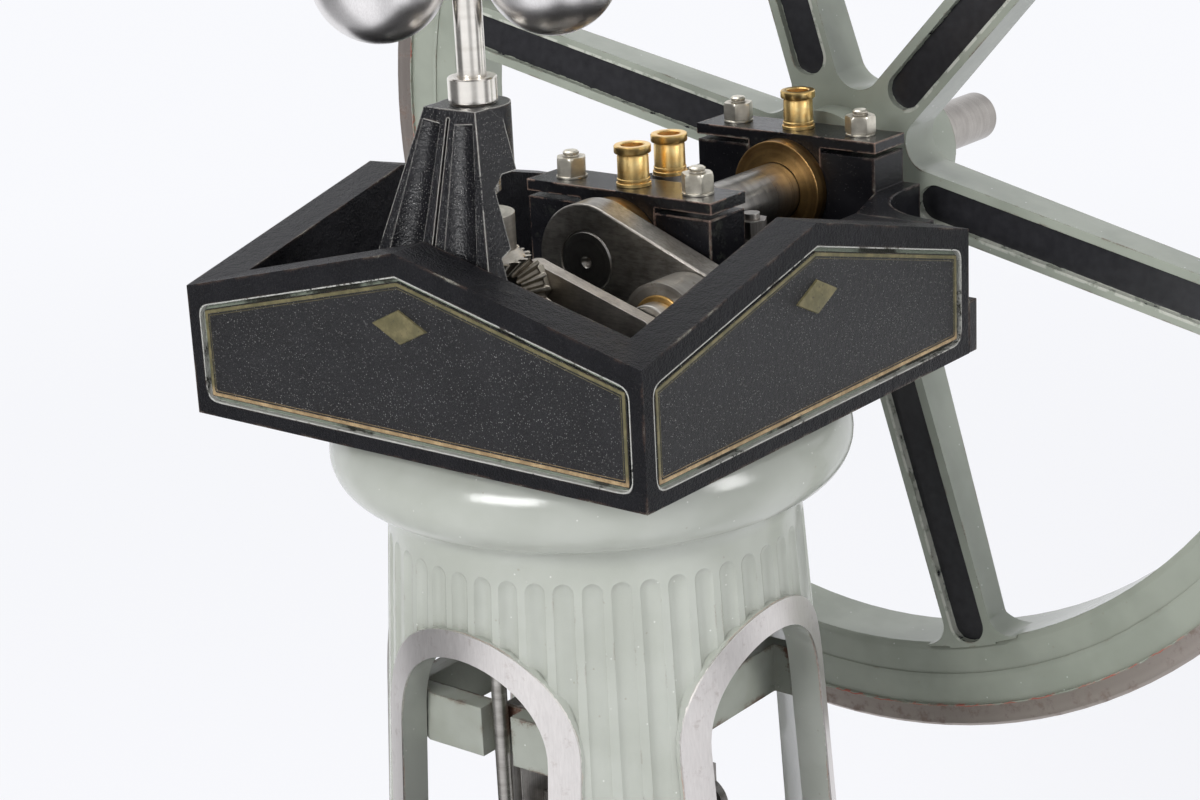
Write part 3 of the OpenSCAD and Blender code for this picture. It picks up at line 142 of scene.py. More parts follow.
for i, (degrees, light) in enumerate(FLAG_STOPS):
    at = degrees / 360 + 0.5
    edge = edges[i] if i < 2 else edges.new(at)
    edge.position, edge.color = at, (light, light, light, 1)
grey = add(flags, "ShaderNodeSeparateColor", {0: bands.outputs[0]}).outputs[0]
flags.links.new(grey, leaves["Light"])


def shown_light(tree, way):
    """1 for the camera, and the room's light in a direction for glossy and clear surfaces."""
    rays = add(tree, "ShaderNodeLightPath").outputs
    room = use(tree, flags, Way=way)["Light"]
    mirrored = calc(tree, "MAXIMUM", rays["Is Glossy Ray"], rays["Is Transmission Ray"])
    return (calc(tree, "MAXIMUM", rays["Is Camera Ray"], mirrored),
            calc(tree, "MAXIMUM", rays["Is Camera Ray"], room))


MIDDLE = Vector((0, 0, 0.25))
for name, place, wide, deep, power in (("left_box", (0.0, -1.35, 0.9), 0.75, 0.45, 17),
                                       ("right_box", (1.34, 0.22, 0.85), 0.4, 0.8, 11),
                                       ("top_box", (-0.5, 0.2, 1.5), 1.1, 1.1, 12)):
    light = bpy.data.lights.new(name, "AREA")
    light.shape, light.size, light.size_y, light.energy = "RECTANGLE", wide, deep, power
    lamp = placed(name, light)
    lamp.location = place
    lamp.rotation_euler = (MIDDLE - Vector(place)).to_track_quat("-Z", "Y").to_euler()

world = bpy.data.worlds.new("room")
scene.world = world
world.use_nodes = True
sky = world.node_tree
sky.nodes.clear()
WHITE, CEILING = (0.945, 0.952, 0.985, 1), (0.3, 0.3, 0.31, 1)
FILL = (0.32, 0.325, 0.34, 1)
way = add(sky, "ShaderNodeTexCoord").outputs["Generated"]
seen, light = shown_light(sky, way)
overhead = add(sky, "ShaderNodeMapRange", {0: split(sky, way)[2], 1: 0.4, 2: 0.85},
               interpolation_type="SMOOTHSTEP").outputs[0]
walls = add(sky, "ShaderNodeMix", {0: overhead, 6: WHITE, 7: CEILING},
            data_type="RGBA").outputs[2]
walls = add(sky, "ShaderNodeVectorMath", {0: walls, "Scale": light}, operation="SCALE").outputs[0]
tint = add(sky, "ShaderNodeMix", {0: seen, 6: FILL, 7: walls}, data_type="RGBA").outputs[2]
glow = add(sky, "ShaderNodeBackground", {"Color": tint, "Strength": 1})
add(sky, "ShaderNodeOutputWorld", {"Surface": glow.outputs[0]})

floor_mesh = bpy.data.meshes.new("floor")
FAR = 12
floor_mesh.from_pydata([(-FAR, -FAR, 0), (FAR, -FAR, 0), (FAR, FAR, 0), (-FAR, FAR, 0)], [],
                       [(0, 1, 2, 3)])
floor = placed("floor", floor_mesh)
paper = bpy.data.materials.new("paper")
paper.use_nodes = True
tree = paper.node_tree
tree.nodes.clear()
spot = add(tree, "ShaderNodeTexCoord").outputs["Object"]
seen, light = shown_light(tree, spot)
SHADE_FROM, SHADE_TO, SHADE_KEPT = 0.2, 1.3, 0.72
spread = add(tree, "ShaderNodeVectorMath", {0: spot}, operation="LENGTH").outputs[1]
away = add(tree, "ShaderNodeMapRange",
           {0: spread, 1: SHADE_FROM, 2: SHADE_TO, 3: SHADE_KEPT, 4: 1.0},
           interpolation_type="SMOOTHSTEP").outputs[0]
matt = add(tree, "ShaderNodeBsdfDiffuse", {"Color": (0.8, 0.8, 0.82, 1)})
lit = add(tree, "ShaderNodeEmission", {"Color": WHITE, "Strength": light})
share = calc(tree, "MULTIPLY", seen, away)
mixed = add(tree, "ShaderNodeMixShader", {0: share, 1: matt.outputs[0], 2: lit.outputs[0]})
add(tree, "ShaderNodeOutputMaterial", {"Surface": mixed.outputs[0]})
floor_mesh.materials.append(paper)

# ---- Base plate ----
# A square cast plate with a stepped edge and a bolt hole in each corner, painted sage green.
# The paint is a glossy enamel, worn to the metal on sharp edges, and darkened in the corners by
# painted shade with a little smudging.


def noise(tree, where, scale, detail, rough=0.55):
    """Soft noise from 0 to 1, with scale spots to a millimetre."""
    return add(tree, "ShaderNodeTexNoise", {"Vector": where, "Scale": scale, "Detail": detail,
                                            "Roughness": rough}).outputs["Fac"]


def ramp(tree, value, low, high):
    """The value run from low..high to 0..1, smoothed and held at the ends."""
    return add(tree, "ShaderNodeMapRange", {0: value, 1: low, 2: high},
               interpolation_type="SMOOTHSTEP").outputs[0]


def length(tree, across, along):
    """How long the line with these two parts is."""
    return calc(tree, "SQRT", calc(tree, "ADD", calc(tree, "MULTIPLY", across, across),
                                   calc(tree, "MULTIPLY", along, along)))


def mix(tree, share, low, high):
    """Two values or two colours mixed."""
    if isinstance(low, (int, float)) and isinstance(high, (int, float)):
        return calc(tree, "MULTIPLY_ADD", share, high - low, low)
    colour = any(isinstance(v, tuple) or getattr(v, "type", "") == "RGBA" for v in (low, high))
    if not colour:
        return add(tree, "ShaderNodeMix", {0: share, 2: low, 3: high}).outputs[0]
    low, high = ((*v, 1) if isinstance(v, tuple) and len(v) == 3 else v for v in (low, high))
    return add(tree, "ShaderNodeMix", {0: share, 6: low, 7: high}, data_type="RGBA").outputs[2]


def place_mm(tree, centre=(0, 0, 0), turn=(0, 0, 0)):
    """Object coordinates in millimetres, from a centre and turned so that an axis lies on Z."""
    found = add(tree, "ShaderNodeTexCoord").outputs["Object"]
    moved = add(tree, "ShaderNodeVectorMath",
                {0: found, 1: (1000, 1000, 1000), 2: [-c for c in centre]},
                operation="MULTIPLY_ADD").outputs[0]
    if turn == (0, 0, 0):
        return moved
    return add(tree, "ShaderNodeVectorRotate", {"Vector": moved, "Rotation": turn},
               rotation_type="EULER_XYZ").outputs[0]


wear, enters, leaves = effect(
    "edge wear",
    [("Place", "Vector", (0, 0, 0)), ("Reach", "Float", 0.5), ("Amount", "Float", 0.5)],
    [("Mask", "Float"), ("Wide", "Float")])
corner = add(wear, "ShaderNodeAmbientOcclusion",
             {"Distance": calc(wear, "MULTIPLY", enters["Reach"], MM)},
             inside=True, only_local=True, samples=3).outputs["AO"]
sharp = calc(wear, "MULTIPLY", calc(wear, "SUBTRACT", 1.0, corner), 2.2, clamp=True)
patches = noise(wear, enters["Place"], 0.16, 3.0)
ragged = noise(wear, enters["Place"], 1.9, 4.0, 0.7)
torn = calc(wear, "ADD", calc(wear, "MULTIPLY_ADD", patches, 2.4, -0.7),
            calc(wear, "MULTIPLY_ADD", ragged, 1.2, -0.6))
strength = calc(wear, "MULTIPLY", sharp, torn)
limit = calc(wear, "SUBTRACT", 1.0, enters["Amount"])
wear.links.new(ramp(wear, strength, calc(wear, "SUBTRACT", limit, 0.08),
                    calc(wear, "ADD", limit, 0.08)), leaves["Mask"])
broader = calc(wear, "MULTIPLY", limit, 0.55)
wear.links.new(ramp(wear, strength, calc(wear, "SUBTRACT", broader, 0.12),
                    calc(wear, "ADD", broader, 0.12)), leaves["Wide"])

# A mask of the hollows, from how closed in each point is. Where a finish darkens there, it is
# painted shade with a little smudging; where it lightens, as on black enamel, it is dust.
hollow_shade_and_dust, enters, leaves = effect(
    "corner dirt",
    [("Place", "Vector", (0, 0, 0)), ("Reach", "Float", 3.0), ("Amount", "Float", 0.6)],
    [("Mask", "Float")])
hollow = add(hollow_shade_and_dust, "ShaderNodeAmbientOcclusion",
             {"Distance": calc(hollow_shade_and_dust, "MULTIPLY", enters["Reach"], MM)},
             only_local=True, samples=2).outputs["AO"]
shade = ramp(hollow_shade_and_dust, hollow, 0.85, 0.35)
cloud = noise(hollow_shade_and_dust, enters["Place"], 0.35, 4.0, 0.65)
hollow_shade_and_dust.links.new(calc(hollow_shade_and_dust, "MULTIPLY", calc(hollow_shade_and_dust, "MULTIPLY", shade, enters["Amount"]),
                    calc(hollow_shade_and_dust, "MULTIPLY_ADD", cloud, 1.3, 0.2), clamp=True), leaves["Mask"])

flecks, enters, leaves = effect(
    "flecks",
    [("Place", "Vector", (0, 0, 0)), ("Size", "Float", 0.5), ("Share", "Float", 0.2)],
    [("Mask", "Float")])
dots = add(flecks, "ShaderNodeTexVoronoi",
           {"Vector": enters["Place"], "Scale": calc(flecks, "DIVIDE", 1.0, enters["Size"])})
pick = add(flecks, "ShaderNodeSeparateColor", {0: dots.outputs["Color"]}).outputs[0]
chosen = calc(flecks, "LESS_THAN", pick, enters["Share"])
near = ramp(flecks, dots.outputs["Distance"], 0.32, 0.12)
flecks.links.new(calc(flecks, "MULTIPLY", chosen, near), leaves["Mask"])

casting, enters, leaves = effect(
    "casting skin",
    [("Place", "Vector", (0, 0, 0)), ("Size", "Float", 0.7)], [("Height", "Float")])
fine = noise(casting, enters["Place"], calc(casting, "DIVIDE", 1.0, enters["Size"]), 4.0, 0.6)
broad = noise(casting, enters["Place"], calc(casting, "DIVIDE", 0.22, enters["Size"]), 2.0)
casting.links.new(calc(casting, "MULTIPLY_ADD", broad, 0.6, calc(casting, "MULTIPLY", fine, 0.5)),
                  leaves["Height"])

lathe, enters, leaves = effect(
    "lathe marks",
    [("Place", "Vector", (0, 0, 0)), ("Pitch", "Float", 0.25)],
    [("Rings", "Float"), ("Tone", "Float")])
spot = split(lathe, enters["Place"])
radius = length(lathe, spot[0], spot[1])
ring = add(lathe, "ShaderNodeCombineXYZ",
           {0: calc(lathe, "DIVIDE", radius, enters["Pitch"]),
            1: calc(lathe, "DIVIDE", spot[2], enters["Pitch"]), 2: 0.0}).outputs[0]
lathe.links.new(noise(lathe, ring, 1.0, 2.0, 0.8), leaves["Rings"])
slow = add(lathe, "ShaderNodeVectorMath", {0: ring, 1: (0.09, 0.09, 0.0)},
           operation="MULTIPLY").outputs[0]
lathe.links.new(noise(lathe, slow, 1.0, 2.0), leaves["Tone"])

brush, enters, leaves = effect(
    "brushed grain",
    [("Place", "Vector", (0, 0, 0)), ("Along", "Vector", (0.05, 4, 4))],
    [("Grain", "Float")])
drawn = add(brush, "ShaderNodeVectorMath", {0: enters["Place"], 1: enters["Along"]},
            operation="MULTIPLY").outputs[0]
brush.links.new(noise(brush, drawn, 1.0, 4.0, 0.7), leaves["Grain"])


def new_material(name):
    """A material, its tree, its shader and its piece's place in millimetres."""
    made = bpy.data.materials.new(name)
    made.use_nodes = True
    tree = made.node_tree
    tree.nodes.clear()
    shader = add(tree, "ShaderNodeBsdfPrincipled")
    add(tree, "ShaderNodeOutputMaterial", {"Surface": shader.outputs[0]})
    return made, tree, shader, place_mm(tree)


def over(tree, mask, below, above, share=1):
    """A finish laid over another where the mask is 1. A finish is colour, roughness and metal."""
    if share != 1:
        mask = calc(tree, "MULTIPLY", mask, share)
    return tuple(mix(tree, mask, low, high) for low, high in zip(below, above))


def set_finish(tree, shader, finish, height=None, depth=0.05, gloss=0.5):
    """Joins a finish to a material's shader, with a bump whose full height is depth mm."""
    shader.inputs["Specular IOR Level"].default_value = gloss
    for name, value in zip(("Base Color", "Roughness", "Metallic"), finish):
        if isinstance(value, bpy.types.NodeSocket):
            tree.links.new(value, shader.inputs[name])
        else:
            shader.inputs[name].default_value = (*value, 1) if isinstance(value, tuple) else value
    if height is not None:
        bump = add(tree, "ShaderNodeBump", {"Strength": 1.0, "Distance": depth * MM,
                                            "Height": height})
        tree.links.new(bump.outputs[0], shader.inputs["Normal"])


SAGE, SAGE_DEEP = (0.425, 0.442, 0.400), (0.385, 0.402, 0.358)
# The first finish on the next line is a deeper sage that darkens hollows as painted shade, with a
# little smudging.
SHADE_SMUDGE_TINT, SOOT = ((0.20, 0.205, 0.165), 0.4, 0.0), ((0.22, 0.20, 0.15), 0.4, 0.0)
GLINT, WORN_IRON = ((0.72, 0.73, 0.70), 0.3, 0.0), ((0.20, 0.165, 0.13), 0.45, 0.6)


def sage_finish(tree, where, worn=0.5, reach=0.45, shade_smudge_share=0.6, deep=SAGE_DEEP, pale=SAGE):
    """Sage enamel with its wear and painted shade in its hollows: the finish and its height."""
    tone = noise(tree, where, 0.06, 3.0)
    coat = (mix(tree, ramp(tree, tone, 0.35, 0.65), deep, pale),
            mix(tree, noise(tree, where, 0.5, 2.0), 0.12, 0.22), 0.0)
    # Painted shade: corners and hollows turn towards a deeper sage, with a little smudging.
    shade_smudge_mask = use(tree, hollow_shade_and_dust, Place=where, Reach=2.6, Amount=shade_smudge_share)["Mask"]
    coat = over(tree, shade_smudge_mask, coat, SHADE_SMUDGE_TINT)
    spots = use(tree, flecks, Place=where, Size=0.9, Share=0.012)["Mask"]
    coat = over(tree, spots, coat, SOOT, 0.5)
    glints = use(tree, flecks, Place=where, Size=0.7, Share=0.010)["Mask"]
    coat = over(tree, glints, coat, GLINT, 0.7)
    bare = use(tree, wear, Place=where, Reach=reach, Amount=worn)["Mask"]
    coat = over(tree, bare, coat, WORN_IRON)
    skin = use(tree, casting, Place=where, Size=1.3)["Height"]
    return coat, calc(tree, "MULTIPLY_ADD", bare, -0.5, skin)


sage, tree, shader, where = new_material("sage_enamel")
finish, height = sage_finish(tree, where)
set_finish(tree, shader, finish, height, 0.06)


SAME_POINT, SAME_FACE = 2e-6, math.radians(0.6)
BEVEL_PAST, SHARP_PAST = math.radians(35), math.radians(38)


def cast_copy(node, piece, material, width, segments=3):
    """A copy of a CAD node, its triangles joined and its edges rounded, in the node's place."""
    body = bmesh.new()
    body.from_mesh(frame["nodes"][node].data)
    bmesh.ops.remove_doubles(body, verts=body.verts, dist=SAME_POINT)
    bmesh.ops.dissolve_limit(body, angle_limit=SAME_FACE, verts=body.verts, edges=body.edges,
                             delimit={"NORMAL"})
    mesh = mesh_of(body, piece)
    mesh.materials.clear()
    made = placed(piece, mesh)
    bevel = made.modifiers.new("edges", "BEVEL")
    bevel.width, bevel.segments, bevel.limit_method = width * MM, segments, "ANGLE"
    bevel.angle_limit = BEVEL_PAST
    bevel.miter_outer = "MITER_ARC"
    mesh.shade_smooth()
    settle(made)
    made.data.set_sharp_from_angle(angle=SHARP_PAST)
    even = made.modifiers.new("even", "WEIGHTED_NORMAL")
    even.keep_sharp = True
    settle(made)
    made.data.materials.append(material)
    seat(made, node)


def mesh_of(body, name):
    """The mesh that a set of faces makes, once they are all there."""
    mesh = bpy.data.meshes.new(name)
    body.to_mesh(mesh)
    body.free()
    return mesh


def seat(made, node):
    """Puts a piece in a CAD node's place, on the body that the node is part of."""
    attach(made, node_body(node))
    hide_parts(node)


def settle(made):
    """Turns an object with its modifiers into a plain mesh."""
    found = made.evaluated_get(bpy.context.evaluated_depsgraph_get())
    mesh = bpy.data.meshes.new_from_object(found)
    mesh.name = made.name
    made.modifiers.clear()
    made.data = mesh


def node_body(node):
    """The body that a CAD node moves with."""
    bodies = frame["record"]["behaviour"]["bodies"]
    return next(body for body, nodes in bodies.items() if node in nodes)


cast_copy("base_plate", "base_casting", sage, width=0.8)

# ---- Column ----
# The tapered column is one hollow casting with scooped flutes, painted sage like the plate.
# The raised bands round its arches are filed flat and left bare, so they show bright metal.

column_paint, tree, shader, where = new_material("column_enamel")
spot = split(tree, where)
radius = length(tree, spot[0], spot[1])
NECK_R, NECK_Z, FOOT_Z, TAPER = 40.2, 227.39, 29.57, 0.06774
shaft_skin = calc(tree, "MULTIPLY_ADD", calc(tree, "SUBTRACT", NECK_Z, spot[2]), TAPER, NECK_R)
proud = calc(tree, "SUBTRACT", radius, shaft_skin)
edge_run = calc(tree, "MULTIPLY_ADD", noise(tree, where, 0.9, 4.0, 0.7), 0.9, 0.25)
on_shaft = calc(tree, "MULTIPLY", calc(tree, "LESS_THAN", spot[2], NECK_Z - 2),
                calc(tree, "GREATER_THAN", spot[2], FOOT_Z + 4))
banded = calc(tree, "MULTIPLY", calc(tree, "GREATER_THAN", proud, edge_run), on_shaft)
finish, height = sage_finish(tree, where, worn=0.42, shade_smudge_share=0.3)
bead = use(tree, hollow_shade_and_dust, Place=where, Reach=2.0, Amount=1.0)["Mask"]
lumps = calc(tree, "MULTIPLY", bead, noise(tree, where, 1.1, 3.0))
height = calc(tree, "MULTIPLY_ADD", lumps, 8.0, height)
grain = use(tree, brush, Place=where, Along=(2.6, 2.6, 0.35))["Grain"]
filed = (mix(tree, grain, (0.60, 0.57, 0.55), (0.83, 0.80, 0.78)),
         mix(tree, grain, 0.28, 0.46), 1.0)
stain = ramp(tree, noise(tree, where, 0.35, 5.0, 0.7), 0.56, 0.74)
filed = over(tree, stain, filed, ((0.27, 0.20, 0.165), 0.5, 0.8), 0.35)
under_paint = calc(tree, "GREATER_THAN", proud, calc(tree, "SUBTRACT", edge_run, 0.22))
under_paint = calc(tree, "MULTIPLY", calc(tree, "MULTIPLY", under_paint, on_shaft),
                   ramp(tree, noise(tree, where, 0.08, 3.0), 0.48, 0.60))
finish = over(tree, under_paint, finish, ((0.42, 0.24, 0.19), 0.5, 0.0), 0.6)
finish = over(tree, banded, finish, filed)
height = mix(tree, banded, height, calc(tree, "MULTIPLY_ADD", grain, 0.25, 0.2))
set_finish(tree, shader, finish, height, 0.06)
cast_copy("column", "column_casting", column_paint, width=0.3, segments=2)

# ---- Guide frame and bars ----
# A square iron frame across the inside of the column carries two upright flat guide bars.
# The frame is painted with the column, but darker as painted shade, and has chipped round its
# notch; the bars are bare.

shaded_frame_coat, tree, shader, where = new_material("frame_enamel")
# Painted shade: this sage is darker than the column's, and its hollows darken more.
finish, height = sage_finish(tree, where, 0.62, 0.6, 0.8, (0.27, 0.285, 0.245),
                             (0.33, 0.345, 0.305))
RUST = (0.085, 0.035, 0.02)
rusty = use(tree, wear, Place=where, Reach=1.6, Amount=0.42)["Mask"]
finish = over(tree, rusty, finish, (RUST, 0.6, 0.1))
set_finish(tree, shader, finish, height, 0.08)
cast_copy("guide_frame", "guide_frame_iron", shaded_frame_coat, width=0.5)


def stains_and_corner_shade(tree, where, reach, scale, stain):
    """Where a metal is darkened: in its corners as painted shade, and in blotches of stain."""
    corners = use(tree, hollow_shade_and_dust, Place=where, Reach=reach, Amount=0.8)["Mask"]
    blotch = ramp(tree, noise(tree, where, scale, 5.0, 0.7), 0.62 - stain * 0.3, 0.8)
    return calc(tree, "MAXIMUM", corners,
                calc(tree, "MULTIPLY", blotch, stain * 2.5, clamp=True))


def turned(name, dull, bright, rough, centre=(0, 0, 0), turn=(0, 0, 0), pitch=0.14, stain=0.15,
           depth=0.008, stain_and_shade_tint=(0.10, 0.07, 0.045)):
    """A metal turned on a lathe about the axis that centre and turn put on Z."""
    made, tree, shader, where = new_material(name)
    marks = use(tree, lathe, Place=place_mm(tree, centre, turn), Pitch=pitch)
    cloud = noise(tree, where, 0.3, 4.0, 0.65)
    tone = calc(tree, "MULTIPLY_ADD", marks["Tone"], 0.6, calc(tree, "MULTIPLY", cloud, 0.4))
    face = (mix(tree, ramp(tree, tone, 0.28, 0.72), dull, bright),
            calc(tree, "MULTIPLY_ADD", marks["Rings"], 0.2, rough - 0.1), 1.0)
    # Painted shade in the corners and stains in blotches, in one darker tint.
    face = over(tree, stains_and_corner_shade(tree, where, 1.8, 0.7, stain), face, (stain_and_shade_tint, 0.5, 0.7))
    set_finish(tree, shader, face, marks["Rings"], depth)
    return made


def ground_metal(name, dull, bright, rough, along, stain=0.2):
    """A flat ground metal; along is how fast its straight grain varies on each axis."""
    made, tree, shader, where = new_material(name)
    grain = use(tree, brush, Place=where, Along=along)["Grain"]
    cloud = noise(tree, where, 0.22, 4.0, 0.6)
    tone = calc(tree, "MULTIPLY_ADD", grain, 0.5, calc(tree, "MULTIPLY", cloud, 0.5))
    face = (mix(tree, ramp(tree, tone, 0.35, 0.65), dull, bright),
            calc(tree, "MULTIPLY_ADD", grain, 0.2, rough - 0.1), 1.0)
    # Painted shade in the corners and stains in blotches, in one darker tint.
    face = over(tree, stains_and_corner_shade(tree, where, 2.0, 0.6, stain), face,
                ((0.09, 0.065, 0.045), 0.5, 0.6))
    rubbed = use(tree, wear, Place=where, Reach=0.3, Amount=0.5)["Mask"]
    face = over(tree, rubbed, face, ((0.55, 0.53, 0.50), 0.3, 1.0))
    set_finish(tree, shader, face, grain, 0.02)
    return made


bar_steel = ground_metal("guide_steel", (0.20, 0.19, 0.18), (0.36, 0.34, 0.32), 0.36, (3, 3, 0.05))
cast_copy("guide_bars", "guide_bars_ground", bar_steel, width=0.3)

# ---- Cylinder and steam chest ----
# A short upright cylinder stands in the foot of the column, its cover held by a ring of nuts.
# The steam chest is bolted to its back; the inlet and outlet are bronze pipes with flanges.

cast_copy("cylinder", "cylinder_casting", sage, width=0.5)
cast_copy("steam_chest", "steam_chest_casting", sage, width=0.5)
ROD_Y = -3.5
cover_steel = turned("cover_steel", (0.22, 0.21, 0.20), (0.40, 0.38, 0.36), 0.34, (0, ROD_Y, 0))
cast_copy("cylinder_cover", "cylinder_cover_turned", cover_steel, width=0.4)
pipe_bronze = turned("pipe_bronze", (0.30, 0.17, 0.07), (0.46, 0.29, 0.13), 0.36,
                     turn=(math.pi / 2, 0, 0), stain=0.3)
cast_copy("steam_inlet", "steam_inlet_pipe", pipe_bronze, width=0.3)
cast_copy("exhaust_outlet", "exhaust_outlet_pipe", pipe_bronze, width=0.3)


def join_rings(body, rings):
    """Closes the strip between each ring of points and the next. A ring may be a single point."""
    for low, high in zip(rings, rings[1:]):
        count = max(len(low), len(high))
        for i in range(count):
            j = (i + 1) % count
            ring = [low[i % len(low)], low[j % len(low)], high[j % len(high)], high[i % len(high)]]
            kept = list(dict.fromkeys(ring))
            if len(kept) > 2:
                body.faces.new(kept)


def lathe_mesh(name, profile, sides):
    """A mesh turned about Z from (radius, height) points in millimetres, outside on the right."""
    body = bmesh.new()
    rows = []
    for r, z in profile:
        if r < 1e-6:
            rows.append([body.verts.new((0, 0, z * MM))])
            continue
        rows.append([body.verts.new((r * math.cos(a) * MM, r * math.sin(a) * MM, z * MM))
                     for a in (2 * math.pi * i / sides for i in range(sides))])
    join_rings(body, rows)
    bmesh.ops.recalc_face_normals(body, faces=body.faces)
    return mesh_of(body, name)


def soften(mesh, sharp):
    """Smooth shading, apart from edges past an angle in degrees."""
    mesh.shade_smooth()
    mesh.set_sharp_from_angle(angle=math.radians(sharp))


def lathed(node, piece, metal, profile, centre, laid=False):
    """A turned piece in a CAD node's place, about an upright axis or one that lies along Y."""
    mesh = lathe_mesh(piece, profile, 72)
    if laid:
        mesh.transform(Matrix.Rotation(math.radians(-90), 4, "X"))
    mesh.transform(Matrix.Translation(Vector(centre) * MM))
    made = placed(piece, mesh)
    soften(mesh, 28)
    mesh.materials.append(metal)
    seat(made, node)
    return made


THREAD_PITCH, THREAD_ROOT = 0.5, 0.88


def stud_profile(r, low, high):
    """Half outline of a threaded stud end."""
    points = [(0, low), (r, low)]
    z = low + 0.2
    while z + THREAD_PITCH < high - 0.3:
        points += [(r, z), (r * THREAD_ROOT, z + THREAD_PITCH / 2)]
        z += THREAD_PITCH
    return points + [(r, z), (r, high - 0.3), (r - 0.35, high), (0, high + 0.1)]


def nut_mesh(name, across, height, washer_r, washer_t, stud_r, rise):
    """A hexagon nut with both ends chamfered, on its washer, with the end of its stud."""
    body = bmesh.new()
    sides, half = 48, across / 2
    corner_r = half / math.cos(math.pi / 6)
    chamfers = [(0, 0.965), (0.05, 1), (0.86, 1), (0.93, 0.975), (1, 0.925)]
    rows = []
    for share, reach in chamfers:
        row = []
        for i in range(sides):
            a = 2 * math.pi * i / sides
            flat = half / math.cos((a + math.pi / 6) % (math.pi / 3) - math.pi / 6)
            r = min(flat, corner_r * reach)
            row.append(body.verts.new((r * math.cos(a) * MM, r * math.sin(a) * MM,
                                       (washer_t + share * height) * MM)))
        rows.append(row)
    join_rings(body, rows)
    body.faces.new(rows[0][::-1])
    body.faces.new(rows[-1])
    made = mesh_of(body, name)
    washer = lathe_mesh("washer", [(0, 0), (washer_r - 0.08, 0), (washer_r, 0.08),
                                   (washer_r, washer_t - 0.1), (washer_r - 0.12, washer_t),
                                   (0, washer_t)], 40)
    stud = lathe_mesh("stud", stud_profile(stud_r, washer_t, washer_t + height + rise), 24)
    joined = bmesh.new()
    for part in (made, washer, stud):
        joined.from_mesh(part)
    joined.to_mesh(made)
    joined.free()
    soften(made, 28)
    return made


def nut_ring_tree():
    """Geometry Nodes: copies of one nut on the points of a mesh, each turned a little."""
    tree = bpy.data.node_groups.new("nuts on points", "GeometryNodeTree")
    for label, kind in (("Geometry", "Geometry"), ("Nut", "Object"), ("Metal", "Material"),
                        ("Turn", "Float"), ("Seed", "Int")):
        tree.interface.new_socket(label, in_out="INPUT", socket_type="NodeSocket" + kind)
    tree.interface.new_socket("Geometry", in_out="OUTPUT", socket_type="NodeSocketGeometry")
    enter = add(tree, "NodeGroupInput").outputs
    points = add(tree, "GeometryNodeMeshToPoints", {"Mesh": enter["Geometry"]}).outputs[0]
    nut = add(tree, "GeometryNodeObjectInfo", {"Object": enter["Nut"]}).outputs["Geometry"]
    spin = add(tree, "FunctionNodeRandomValue", {"Min": 0.0, "Max": enter["Turn"],
                                                 "Seed": enter["Seed"]}, data_type="FLOAT")
    turn = add(tree, "ShaderNodeCombineXYZ", {2: spin.outputs[1]}).outputs[0]
    copies = add(tree, "GeometryNodeInstanceOnPoints",
                 {"Points": points, "Instance": nut, "Rotation": turn}).outputs[0]
    real = add(tree, "GeometryNodeRealizeInstances", {0: copies}).outputs[0]
    metal = add(tree, "GeometryNodeSetMaterial", {"Geometry": real,
                                                  "Material": enter["Metal"]}).outputs[0]
    add(tree, "NodeGroupOutput", {0: metal})
    return tree


nut_tree = nut_ring_tree()


SIXTH_TURN = 1.05


def nuts_at(name, points, nut, metal, body, seed):
    """One piece of nuts, one on each point, riding on a body."""
    mesh = bpy.data.meshes.new(name)
    mesh.from_pydata([tuple(v * MM for v in p) for p in points], [], [])
    made = placed(name, mesh)
    pattern = bpy.data.objects.new(name + "_pattern", nut)
    grow = made.modifiers.new("nuts", "NODES")
    grow.node_group = nut_tree
    names = {s.name: s.identifier for s in nut_tree.interface.items_tree if s.in_out == "INPUT"}
    for label, value in (("Nut", pattern), ("Metal", metal), ("Turn", SIXTH_TURN),
                         ("Seed", seed)):
        grow[names[label]] = value
    settle(made)
    bpy.data.objects.remove(pattern)
    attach(made, body)
    return made


nut_steel = turned("nut_steel", (0.58, 0.545, 0.46), (0.80, 0.76, 0.66), 0.36, stain=0.1)
small_nut = nut_mesh("small_nut", across=4.2, height=2.4, washer_r=2.5, washer_t=0.4, stud_r=1.2,
                     rise=0.9)
COVER_TOP, NUT_RING_R, NUT_COUNT, NUT_START = 100.0, 20.5, 8, 0.3927
turns = [NUT_START + 2 * math.pi * i / NUT_COUNT for i in range(NUT_COUNT)]
ring = [(NUT_RING_R * math.cos(a), ROD_Y + NUT_RING_R * math.sin(a), COVER_TOP) for a in turns]
nuts_at("cover_nuts", ring, small_nut, nut_steel, "engine_frame", 3)

# ---- Entablature ----
# The top casting is a square open box with a gable on three sides, in black enamel over a rough
# skin. Each gable holds a plate with a gold edge, sunk in a recess whose sides are sage.

BLACK, BLACK_PALE = (0.006, 0.006, 0.0075), (0.0105, 0.0105, 0.0125)
PALE_DUST, DUST = ((0.13, 0.125, 0.115), 0.5, 0.0), ((0.035, 0.028, 0.023), 0.6, 0.0)
RUBBED, CHIPPED = ((0.075, 0.048, 0.038), 0.35, 0.3), ((0.34, 0.33, 0.28), 0.5, 0.2)


